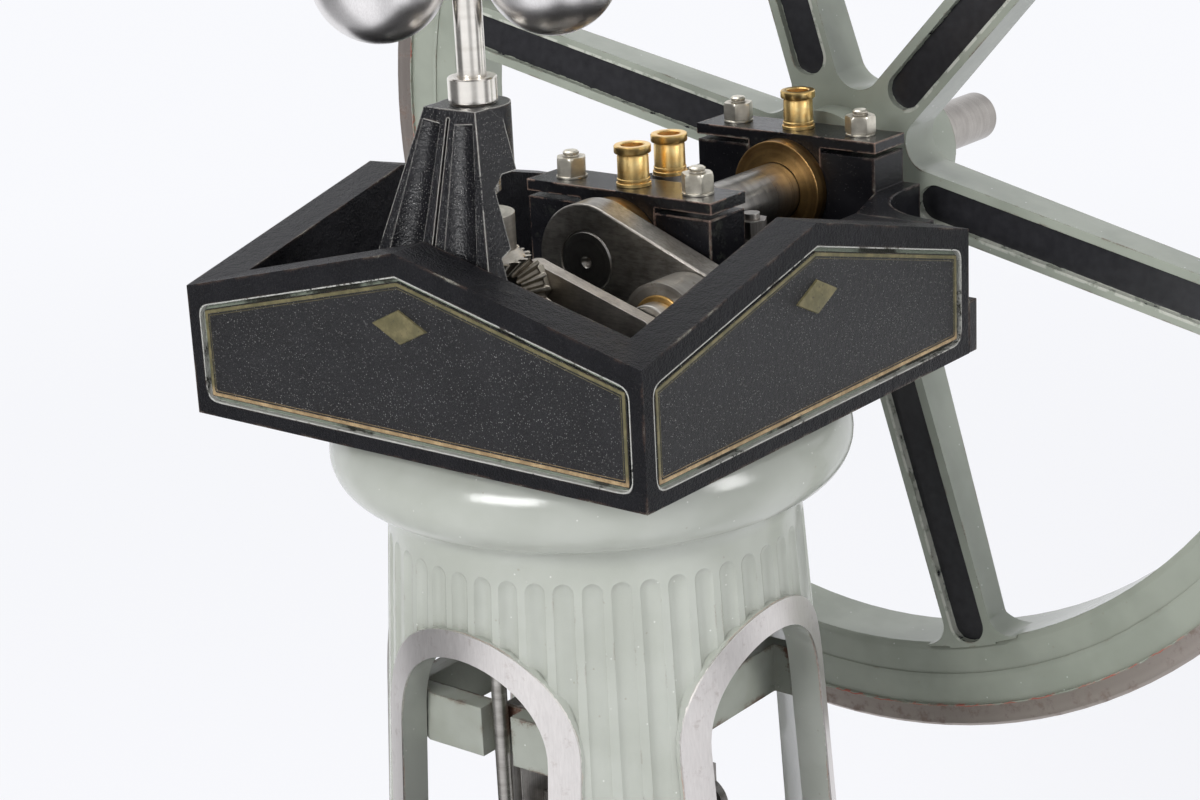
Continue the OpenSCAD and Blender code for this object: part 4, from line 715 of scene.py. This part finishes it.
def black_finish(tree, where, worn=0.5, reach=0.5, skin_size=0.5, rough=0.24):
    """Black enamel over a casting, with pale and rusty edges: the finish and its height."""
    cloud = noise(tree, where, 0.12, 3.0)
    skin = use(tree, casting, Place=where, Size=skin_size)["Height"]
    coat = (mix(tree, ramp(tree, cloud, 0.3, 0.7), BLACK, BLACK_PALE),
            calc(tree, "MULTIPLY_ADD", cloud, 0.16, rough - 0.08), 0.0)
    motes = use(tree, flecks, Place=where, Size=0.32, Share=0.07)["Mask"]
    coat = over(tree, motes, coat, PALE_DUST, 0.45)
    dusty = use(tree, hollow_shade_and_dust, Place=where, Reach=2.0, Amount=0.25)["Mask"]
    coat = over(tree, dusty, coat, DUST)
    rubbed = use(tree, wear, Place=where, Reach=reach * 1.4, Amount=worn * 0.62)
    coat = over(tree, rubbed["Wide"], coat, RUBBED, 0.7)
    chipped = rubbed["Mask"]
    coat = over(tree, chipped, coat, CHIPPED)
    return coat, calc(tree, "MULTIPLY_ADD", chipped, -0.4, skin)


black, tree, shader, where = new_material("black_enamel")
finish, height = black_finish(tree, where)
set_finish(tree, shader, finish, height, 0.16, gloss=0.2)

ENTAB_Z, WALL_X, WALL_Y = 250.0, 53.5, 51.6
WALL_H, GABLE_H = 25.0, 13.0
PANEL_EDGE, PANEL_TOP, PANEL_DEEP, MITRE_R = 3.0, 4.3, 1.0, 0.3


def panel_distance(tree, across, height, half):
    """How far inside the panel's outline a point of a gable lies, in millimetres."""
    slope = GABLE_H / half
    lean = math.sqrt(1 + slope * slope)
    u = calc(tree, "ABSOLUTE", across)
    side = calc(tree, "SUBTRACT", half - PANEL_EDGE, u)
    low = calc(tree, "SUBTRACT", height, ENTAB_Z + PANEL_EDGE)
    peak = ENTAB_Z + WALL_H + GABLE_H - PANEL_TOP * lean
    roof = calc(tree, "MULTIPLY_ADD", u, -slope, peak)
    top = calc(tree, "DIVIDE", calc(tree, "SUBTRACT", roof, height), lean)
    inner = calc(tree, "SMOOTH_MIN", side, low, 4.4)
    return calc(tree, "SMOOTH_MIN", inner, top, 3.2)


FAR_OUT = 9


def only_on(tree, wall, depth):
    """A depth where a wall's mask is 1, and well outside every panel where it is 0."""
    return calc(tree, "MULTIPLY_ADD", wall, calc(tree, "ADD", depth, FAR_OUT), -FAR_OUT)


entab_paint, tree, shader, where = new_material("gable_enamel")
spot = split(tree, where)
on_front = calc(tree, "LESS_THAN", spot[1], 0.4 - WALL_Y + PANEL_DEEP)
on_side = calc(tree, "GREATER_THAN", calc(tree, "ABSOLUTE", spot[0]), WALL_X - PANEL_DEEP - 0.4)
front = panel_distance(tree, spot[0], spot[2], WALL_X)
side = panel_distance(tree, spot[1], spot[2], WALL_Y)
depth_in = calc(tree, "MAXIMUM", only_on(tree, on_front, front), only_on(tree, on_side, side))
ragged = calc(tree, "MULTIPLY_ADD", noise(tree, where, 1.3, 4.0, 0.7), 0.5, -0.25)
inside = calc(tree, "ADD", depth_in, ragged)
finish, height = black_finish(tree, where, worn=0.46, reach=0.4, skin_size=0.5, rough=0.3)
sunk = calc(tree, "GREATER_THAN", inside, -0.12)
fringe = calc(tree, "MULTIPLY", noise(tree, where, 0.7, 3.0), 0.16)
runs = calc(tree, "ADD", noise(tree, where, 0.045, 2.0), fringe)
green = ramp(tree, runs, 0.54, 0.62)
strip = mix(tree, green, (0.035, 0.036, 0.028), (0.22, 0.25, 0.20))
finish = over(tree, sunk, finish, (strip, 0.3, 0.0))
at_lip = calc(tree, "ABSOLUTE", calc(tree, "ADD", depth_in, 0.1))
broken = calc(tree, "ADD", noise(tree, where, 0.5, 5.0, 0.75), calc(tree, "MULTIPLY", green, 0.10))
lip = calc(tree, "MULTIPLY", ramp(tree, at_lip, 0.22, 0.08), ramp(tree, broken, 0.40, 0.52))
finish = over(tree, lip, finish, ((0.46, 0.46, 0.43), 0.45, 0.1))
set_finish(tree, shader, finish, height, 0.85, gloss=0.11)
cast_copy("entablature", "entablature_casting", entab_paint, width=1.1,
          segments=4)

plate_black, tree, shader, where = new_material("plate_ground")
finish, height = black_finish(tree, where, worn=0.2, skin_size=0.26, rough=0.34)
# Pale flecks gathered in patches: painted glints of the grainy ground; the same mask raises the
# grain in the bump.
glints_and_grain = use(tree, flecks, Place=where, Size=0.40, Share=0.7)["Mask"]
grit = noise(tree, where, 1.1, 3.0, 0.6)
glints_and_grain = calc(tree, "MULTIPLY", glints_and_grain, ramp(tree, grit, 0.36, 0.60))
finish = over(tree, glints_and_grain, finish, ((0.44, 0.44, 0.42), 0.35, 0.0))
set_finish(tree, shader, finish, calc(tree, "MULTIPLY_ADD", glints_and_grain, 0.6, height), 0.6, gloss=0.35)

gold, tree, shader, where = new_material("gold_lining")
cloud = noise(tree, where, 0.35, 4.0, 0.7)
olive = mix(tree, ramp(tree, cloud, 0.38, 0.68), (0.105, 0.095, 0.045), (0.19, 0.162, 0.08))
amber = mix(tree, ramp(tree, cloud, 0.38, 0.68), (0.27, 0.185, 0.095), (0.46, 0.33, 0.18))
above_sill = ramp(tree, split(tree, where)[2], ENTAB_Z + 4.2, ENTAB_Z + 6.5)
finish = (mix(tree, above_sill, amber, olive), 0.42, 0.2)
worn_off = ramp(tree, noise(tree, where, 1.6, 4.0, 0.7), 0.60, 0.70)
finish = over(tree, worn_off, finish, ((0.03, 0.027, 0.02), 0.5, 0.0))
set_finish(tree, shader, finish, cloud, 0.05)


MITRE_STEPS = 6


def panel_outline(half, inset):
    """The panel's outline set in by a distance, as points across and up, anticlockwise."""
    slope = GABLE_H / half
    lean = math.sqrt(1 + slope * slope)
    r = MITRE_R
    x = half - PANEL_EDGE - inset - r
    low = ENTAB_Z + PANEL_EDGE + inset + r
    peak = ENTAB_Z + WALL_H + GABLE_H - (PANEL_TOP + inset + r) * lean
    corners = [(-x, low), (x, low), (x, peak - slope * x), (0, peak), (-x, peak - slope * x)]
    tilt = math.atan(slope)
    starts = [math.pi, -math.pi / 2, 0, math.pi / 2 - tilt, math.pi / 2 + tilt]
    ends = [1.5 * math.pi, 0, math.pi / 2 - tilt, math.pi / 2 + tilt, math.pi]
    points = []
    for (cx, cz), a, b in zip(corners, starts, ends):
        turns = [a + (b - a) * i / MITRE_STEPS for i in range(MITRE_STEPS + 1)]
        points += [(cx + r * math.cos(t), cz + r * math.sin(t)) for t in turns]
    return points


def on_gable(side):
    """The half width of a gable, and the place of a point across, up and out from its wall."""
    if side == "front":
        return WALL_X, lambda u, z, out: (u * MM, -(WALL_Y + out) * MM, z * MM)
    sign = 1 if side == "right" else -1
    return WALL_Y, lambda u, z, out: (sign * (WALL_X + out) * MM, sign * u * MM, z * MM)


def raised(body, loops, place, close):
    """Joins outlines in turn, each at its own height out from the wall, and closes the last."""
    rows = [[body.verts.new(place(u, z, out)) for u, z in points] for points, out in loops]
    join_rings(body, rows)
    if close:
        body.faces.new(rows[-1])


def gable_piece(name, material, make):
    """One mesh of the same feature on each of the three gables."""
    body = bmesh.new()
    for side in ("front", "left", "right"):
        make(body, *on_gable(side))
    mesh = mesh_of(body, name)
    made = placed(name, mesh)
    soften(mesh, 30)
    mesh.materials.append(material)
    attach(made, "engine_frame")
    return made


PLATE_OUT = 0.55 - PANEL_DEEP


def plate(body, half, place):
    raised(body, [(panel_outline(half, 0.8), -PANEL_DEEP),
                  (panel_outline(half, 0.8), PLATE_OUT - 0.1),
                  (panel_outline(half, 0.9), PLATE_OUT)], place, True)


# Each gold line's near and far edges, in from the panel's outline, and its thickness
LINES = ((0.95, 1.65, 0.10), (1.95, 2.06, 0.05))


def lining(body, half, place):
    for near, far, high in LINES:
        raised(body, [(panel_outline(half, near), PLATE_OUT),
                      (panel_outline(half, near + 0.06), PLATE_OUT + high),
                      (panel_outline(half, far - 0.06), PLATE_OUT + high),
                      (panel_outline(half, far), PLATE_OUT)], place, False)


def lozenge(body, half, place):
    wide, tall, at = 6.5, 3.2, ENTAB_Z + WALL_H - 0.5

    def ring(share):
        return [(wide * share, at), (0, at + tall * share), (-wide * share, at),
                (0, at - tall * share)]
    raised(body, [(ring(1), PLATE_OUT), (ring(0.96), PLATE_OUT + 0.35),
                  (ring(0.80), PLATE_OUT + 0.45)], place, True)


gable_piece("gable_plates", plate_black, plate)
gable_piece("gable_lining", gold, lining)
gable_piece("gable_lozenges", gold, lozenge)

# ---- Rear bracket and bearings ----
# Black castings with split bearings: a cap over each bush, held by two studs with nuts.
# The bushes are bronze with a flange at the front, and each cap carries a turned brass oil cup.

cast_copy("rear_bracket", "rear_bracket_casting", black, width=0.5)
rubbed_black, tree, shader, where = new_material("rubbed_enamel")
finish, height = black_finish(tree, where, worn=0.6, reach=0.4, skin_size=0.4, rough=0.2)
green = ramp(tree, noise(tree, where, 0.25, 4.0, 0.65), 0.56, 0.70)
finish = over(tree, green, finish, ((0.055, 0.062, 0.048), 0.4, 0.0), 0.35)
rim_line = use(tree, wear, Place=where, Reach=0.26, Amount=0.74)["Mask"]
finish = over(tree, rim_line, finish, ((0.40, 0.27, 0.215), 0.4, 0.1))
set_finish(tree, shader, finish, height, 0.20, gloss=0.28)
for node in ("crank_pedestal", "crank_bearing_cap", "flywheel_bearing_cap"):
    cast_copy(node, node + "_casting", rubbed_black, width=0.35)
SHAFT_Z = 273.65
SHAFT, LAID = (0, 0, SHAFT_Z), (math.pi / 2, 0, 0)
bush_bronze = turned("bush_bronze", (0.24, 0.13, 0.05), (0.50, 0.31, 0.12), 0.34, SHAFT, LAID,
                     stain=0.3)
cast_copy("crank_bearing_bush", "crank_bush_turned", bush_bronze, width=0.2)
cast_copy("flywheel_bearing_bush", "flywheel_bush_turned", bush_bronze, width=0.2)

CRANK_Y, FLY_Y, STUD_X, CAP_TOP = 16.8, 73.2, 15.3, 285.3
cap_nut = nut_mesh("cap_nut", across=5.5, height=3.6, washer_r=3.08, washer_t=0.5, stud_r=1.6,
                   rise=1.2)
studs = [(x, y, CAP_TOP) for x in (-STUD_X, STUD_X) for y in (CRANK_Y, FLY_Y)]
nuts = nuts_at("bearing_nuts", studs, cap_nut, nut_steel, "engine_frame", 11)
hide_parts("cap_nuts")


def oil_cup(name, replaced, points, body):
    """Turned brass cups with a flared rim, a waist and a collar, each open at the top."""
    profile = [(0, 0), (3.3, 0), (3.4, 0.1), (3.4, 0.65), (3.3, 0.75), (3.0, 0.8), (3.0, 1.0),
               (3.22, 1.1), (3.22, 1.45), (3.08, 1.6), (3.05, 5.8), (2.95, 6.1), (3.0, 6.3),
               (3.5, 6.45), (3.6, 6.6), (3.6, 7.8), (3.45, 8.0), (2.45, 8.0), (2.25, 7.8),
               (2.25, 2.9), (0, 2.7)]
    pattern = lathe_mesh(name + "_turning", profile, 48)
    soften(pattern, 35)
    made = nuts_at(name, points, pattern, cup_brass, body, 5)
    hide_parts(replaced)
    return made


# Its deepest tint darkens hollows as painted shade and marks stains.
cup_brass = turned("cup_brass", (0.92, 0.57, 0.19), (1.0, 0.77, 0.35), 0.3, stain=0.03,
                   stain_and_shade_tint=(0.30, 0.16, 0.045))
oil_cup("bearing_cups_turned", "bearing_oil_cups", [(0, CRANK_Y, CAP_TOP), (0, FLY_Y, CAP_TOP)],
        "engine_frame")

# ---- Crankshaft and crank ----
# A turned steel shaft, with an overhung forged web at its front end that is ground on its face.
# A light steel bar from the crankpin drives the small bevel gear in front of the web.

SHAFT_R, END_R, HUB_BACK, SHAFT_END = 5.99, 5.49, 114, 145.7
shaft_steel = turned("shaft_steel", (0.26, 0.25, 0.235), (0.46, 0.44, 0.41), 0.30, SHAFT, LAID,
                     pitch=0.2, stain=0.06)
shaft = lathed("crankshaft", "crankshaft_turned", shaft_steel,
               [(0, 2.9), (1.23, 1.2), (5.7, 1.2), (SHAFT_R, 1.5), (SHAFT_R, HUB_BACK),
                (END_R, HUB_BACK), (END_R, SHAFT_END - 0.5), (END_R - 0.5, SHAFT_END),
                (0, SHAFT_END)], SHAFT, laid=True)
end_steel = turned("shaft_end_steel", (0.34, 0.315, 0.29), (0.48, 0.455, 0.42), 0.3, SHAFT, LAID,
                   pitch=0.2, stain=0.03, depth=0.003)
shaft.data.materials.append(end_steel)
for face in shaft.data.polygons:
    face.material_index = int(face.center.y > HUB_BACK * MM)
web_steel = ground_metal("web_steel", (0.22, 0.205, 0.185), (0.42, 0.395, 0.36), 0.36,
                         (0.5, 3, 2.6), stain=0.15)
cast_copy("crank_web", "crank_web_ground", web_steel, width=0.45)
# Painted light: this steel is set paler than the other ground steel, standing in for light bounced
# onto the bar.
drive_steel = ground_metal("drive_steel", (0.34, 0.31, 0.28), (0.56, 0.52, 0.47), 0.42,
                           (0.4, 3, 2.4), stain=0.1)
cast_copy("drive_bar", "drive_bar_ground", drive_steel, width=0.4)
cast_copy("flywheel_key", "flywheel_key_steel", bar_steel, width=0.2)

# ---- Flywheel ----
# A six-spoke cast wheel in sage with a recess down each spoke painted black. The outer band of
# the rim is turned bright, and a little red primer shows where the paint stops against it.

wheel_paint, tree, shader, where = new_material("flywheel_enamel")
spot = split(tree, place_mm(tree, SHAFT))
radius = length(tree, spot[0], spot[2])
SPOKE_TURN, SPOKE_STEP = math.radians(-12.6), math.pi / 3
round_hub = calc(tree, "SUBTRACT", calc(tree, "ARCTAN2", spot[2], spot[0]), SPOKE_TURN)
sixth = calc(tree, "DIVIDE", round_hub, SPOKE_STEP)
off_spoke = calc(tree, "SUBTRACT", sixth, calc(tree, "ROUND", sixth))
angle = calc(tree, "MULTIPLY", off_spoke, SPOKE_STEP)
off_line = calc(tree, "MULTIPLY", radius, calc(tree, "SINE", angle))
along = calc(tree, "MULTIPLY", radius, calc(tree, "COSINE", angle))
RECESS_HALF, RECESS_IN, RECESS_OUT, RIM_BARE = 4.0, 24.5, 104.0, 122.0
SPOKE_BACK, BOSS_R, BOSS_FRONT = 90.5, 8.5, 86.5
past = calc(tree, "MAXIMUM", calc(tree, "SUBTRACT", RECESS_IN, along),
            calc(tree, "MAXIMUM", calc(tree, "SUBTRACT", along, RECESS_OUT), 0.0))
reach = length(tree, past, off_line)
ragged = calc(tree, "MULTIPLY_ADD", noise(tree, where, 0.4, 4.0, 0.65), 0.9, -0.45)
in_front = calc(tree, "LESS_THAN", spot[1], SPOKE_BACK)
recess = calc(tree, "MULTIPLY", in_front,
              calc(tree, "LESS_THAN", calc(tree, "ADD", reach, ragged), RECESS_HALF - 0.1))
# The wheel's sage is darker and a little greener than the column's: partly its own paint, partly
# painted shade.
finish, height = sage_finish(tree, where, 0.42, 0.45, 0.5, (0.285, 0.31, 0.26),
                             (0.335, 0.36, 0.305))
cloud = noise(tree, where, 0.5, 4.0)
black_coat = (mix(tree, cloud, (0.010, 0.010, 0.012), (0.032, 0.032, 0.036)), 0.26, 0.0)
finish = over(tree, recess, finish, black_coat)
edge_side = ramp(tree, calc(tree, "MULTIPLY", off_line, -1.0), 2.6, 3.4)
from_line = calc(tree, "ABSOLUTE", calc(tree, "SUBTRACT", reach, RECESS_HALF + 0.25))
pale_line = calc(tree, "MULTIPLY", ramp(tree, from_line, 0.5, 0.25), edge_side)
pale_line = calc(tree, "MULTIPLY", pale_line, in_front)
pale_line = calc(tree, "MULTIPLY", pale_line,
                 ramp(tree, noise(tree, where, 0.25, 4.0, 0.65), 0.42, 0.54))
finish = over(tree, pale_line, finish, ((0.50, 0.51, 0.45), 0.5, 0.0))
wander = calc(tree, "MULTIPLY_ADD", noise(tree, where, 0.5, 4.0, 0.7), 0.9, -0.45)
band_run = calc(tree, "ADD", radius, wander)
primer = calc(tree, "MULTIPLY", calc(tree, "GREATER_THAN", band_run, RIM_BARE),
              ramp(tree, noise(tree, where, 0.2, 3.0), 0.4, 0.55))
finish = over(tree, primer, finish, ((0.36, 0.10, 0.07), 0.55, 0.0))
rings = use(tree, lathe, Place=place_mm(tree, SHAFT, LAID), Pitch=0.35)
bare_rim = (mix(tree, rings["Tone"], (0.31, 0.265, 0.24), (0.52, 0.47, 0.435)),
            calc(tree, "MULTIPLY_ADD", rings["Rings"], 0.2, 0.34), 1.0)
rust_rim = ramp(tree, noise(tree, where, 0.25, 5.0, 0.7), 0.5, 0.68)
bare_rim = over(tree, rust_rim, bare_rim, ((0.13, 0.075, 0.05), 0.55, 0.4), 0.6)
banded = calc(tree, "GREATER_THAN", band_run, RIM_BARE + 0.25)
boss = calc(tree, "MULTIPLY", calc(tree, "LESS_THAN", radius, BOSS_R),
            calc(tree, "LESS_THAN", spot[1], BOSS_FRONT))
bare = calc(tree, "MAXIMUM", banded, boss)
finish = over(tree, bare, finish, bare_rim)
height = mix(tree, bare, height, calc(tree, "MULTIPLY", rings["Rings"], 0.4))
set_finish(tree, shader, finish, height, 0.06)
cast_copy("flywheel", "flywheel_casting", wheel_paint, width=0.5, segments=2)

# ---- Connecting rod and crosshead ----
# A plain round rod with a ring at each end, its big end bushed in brass on a steel crankpin.
# The crosshead is a forked block that slides between the guide bars on the piston rod.

CRANKPIN = (24.29, 0, 266.22)
rod_steel = turned("rod_steel", (0.20, 0.185, 0.165), (0.38, 0.36, 0.33), 0.38, CRANKPIN, LAID,
                   stain=0.3)
cast_copy("connecting_rod", "connecting_rod_forged", rod_steel, width=0.5)
# Its deepest tint darkens hollows as painted shade and marks stains.
ring_brass = turned("ring_brass", (0.42, 0.25, 0.08), (0.62, 0.40, 0.15), 0.34, CRANKPIN, LAID,
                    stain=0.4, stain_and_shade_tint=(0.20, 0.08, 0.02))
cast_copy("big_end_brass", "big_end_ring", ring_brass, width=0.3)
pin_steel = turned("pin_steel", (0.26, 0.25, 0.23), (0.44, 0.42, 0.39), 0.34, CRANKPIN, LAID,
                   stain=0.25)
cast_copy("crankpin", "crankpin_turned", pin_steel, width=0.4)
cast_copy("crosshead", "crosshead_block", bar_steel, width=0.35)
spindle_steel = turned("spindle_steel", (0.34, 0.33, 0.31), (0.52, 0.50, 0.48), 0.26,
                       (0, ROD_Y, 0), stain=0.1)
cast_copy("piston_rod", "piston_rod_ground", spindle_steel, width=0.3)

# ---- Eccentric and valve spindle ----
# A turned sheave on the shaft turns in a two-part strap, whose rod works the valve spindle.
# The strap carries an oil cup like the ones on the bearings.

THROW = 2.5
sheave_steel = turned("sheave_steel", (0.24, 0.23, 0.215), (0.42, 0.40, 0.37), 0.34,
                      (0, 0, SHAFT_Z - THROW), LAID)
cast_copy("eccentric", "eccentric_turned", sheave_steel, width=0.3)
cast_copy("eccentric_strap", "eccentric_strap_ground", bar_steel, width=0.3)
low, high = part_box("strap_oil_cup")
seat_point = ((low.x + high.x) / 2 / MM, (low.y + high.y) / 2 / MM, low.z / MM)
oil_cup("strap_cup_turned", "strap_oil_cup", [seat_point], "eccentric_strap")
cast_copy("valve_spindle", "valve_spindle_ground", spindle_steel, width=0.2)

# ---- Governor ----
# The spindle runs in a bush at the top of a ribbed black bracket and is driven by bevel gears.
# Two brushed steel balls swing out on their arms and lift the sleeve through links.

ribbed, tree, shader, where = new_material("ribbed_enamel")
finish, height = black_finish(tree, where, worn=0.45, reach=0.3, skin_size=0.45, rough=0.2)
sparkle = use(tree, flecks, Place=where, Size=0.3, Share=0.4)["Mask"]
gathered = ramp(tree, noise(tree, where, 0.25, 3.0), 0.36, 0.56)
sparkle = calc(tree, "MULTIPLY", sparkle, gathered)
finish = over(tree, sparkle, finish, ((0.42, 0.41, 0.38), 0.3, 0.2), 0.6)
rib_edge = use(tree, wear, Place=where, Reach=0.24, Amount=0.86)["Mask"]
finish = over(tree, rib_edge, finish, ((0.47, 0.46, 0.43), 0.35, 0.2), 0.85)
set_finish(tree, shader, finish, height, 0.3, gloss=0.3)
cast_copy("governor_bracket", "governor_bracket_casting", ribbed, width=0.35)
GOVERNOR = (0, -28.0, 0)
SPINDLE_R, COLLAR_R = 2.59, 4.44
gov_steel = turned("governor_steel", (0.80, 0.76, 0.69), (0.93, 0.895, 0.83), 0.2, GOVERNOR,
                   stain=0.02, depth=0.003)
link_steel = turned("link_steel", (0.40, 0.385, 0.355), (0.60, 0.58, 0.54), 0.34, GOVERNOR,
                    stain=0.05)
bush_steel = turned("bush_steel", (0.60, 0.575, 0.52), (0.78, 0.75, 0.69), 0.24, GOVERNOR,
                    stain=0.05)
lathed("governor_bush", "governor_bush_turned", bush_steel,
       [(2.8, 293.7), (3.7, 293.7), (3.99, 294), (3.99, 309.8), (3.8, 310), (2.8, 310)], GOVERNOR)
lathed("governor_spindle", "governor_spindle_ground", gov_steel,
       [(0, 277.35), (2.3, 277.35), (SPINDLE_R, 277.65), (SPINDLE_R, 310.15), (4.2, 310.15),
        (COLLAR_R, 310.4), (COLLAR_R, 314.5), (4.24, 314.75), (SPINDLE_R, 314.75),
        (SPINDLE_R, 383.8), (2.3, 384.1), (0, 384.1)], GOVERNOR)
for node in ("governor_head", "governor_sleeve", "left_link", "right_link"):
    cast_copy(node, node + "_machined", link_steel, width=0.3)
gear_steel = turned("gear_steel", (0.36, 0.335, 0.29), (0.66, 0.62, 0.55), 0.36, GOVERNOR,
                    stain=0.2)
cast_copy("governor_pinion", "governor_pinion_cut", gear_steel, width=0.12)
gear_laid = turned("gear_laid_steel", (0.20, 0.18, 0.15), (0.52, 0.48, 0.40), 0.36, SHAFT, LAID,
                   stain=0.3)
cast_copy("drive_gear", "drive_gear_cut", gear_laid, width=0.12)
THROTTLE_Y = -31.5
throttle_steel = turned("throttle_steel", (0.30, 0.285, 0.26), (0.50, 0.48, 0.45), 0.3,
                        (0, THROTTLE_Y, 0), stain=0.15, depth=0.002)
cast_copy("throttle_rod", "throttle_rod_ground", throttle_steel, width=0.25)

ball_steel, tree, shader, where = new_material("ball_steel")
marks = use(tree, lathe, Place=place_mm(tree, GOVERNOR), Pitch=0.22)
scratch = use(tree, brush, Place=where, Along=(5, 5, 0.12))["Grain"]
tone = calc(tree, "MULTIPLY_ADD", marks["Rings"], 0.2, calc(tree, "MULTIPLY", scratch, 0.8))
face = (mix(tree, ramp(tree, tone, 0.3, 0.7), (0.80, 0.775, 0.765), (0.95, 0.93, 0.92)), 0.3, 1.0)
set_finish(tree, shader, face)
for side in ("left", "right"):
    cast_copy(side + "_arm", side + "_arm_and_ball", ball_steel, width=0.25)
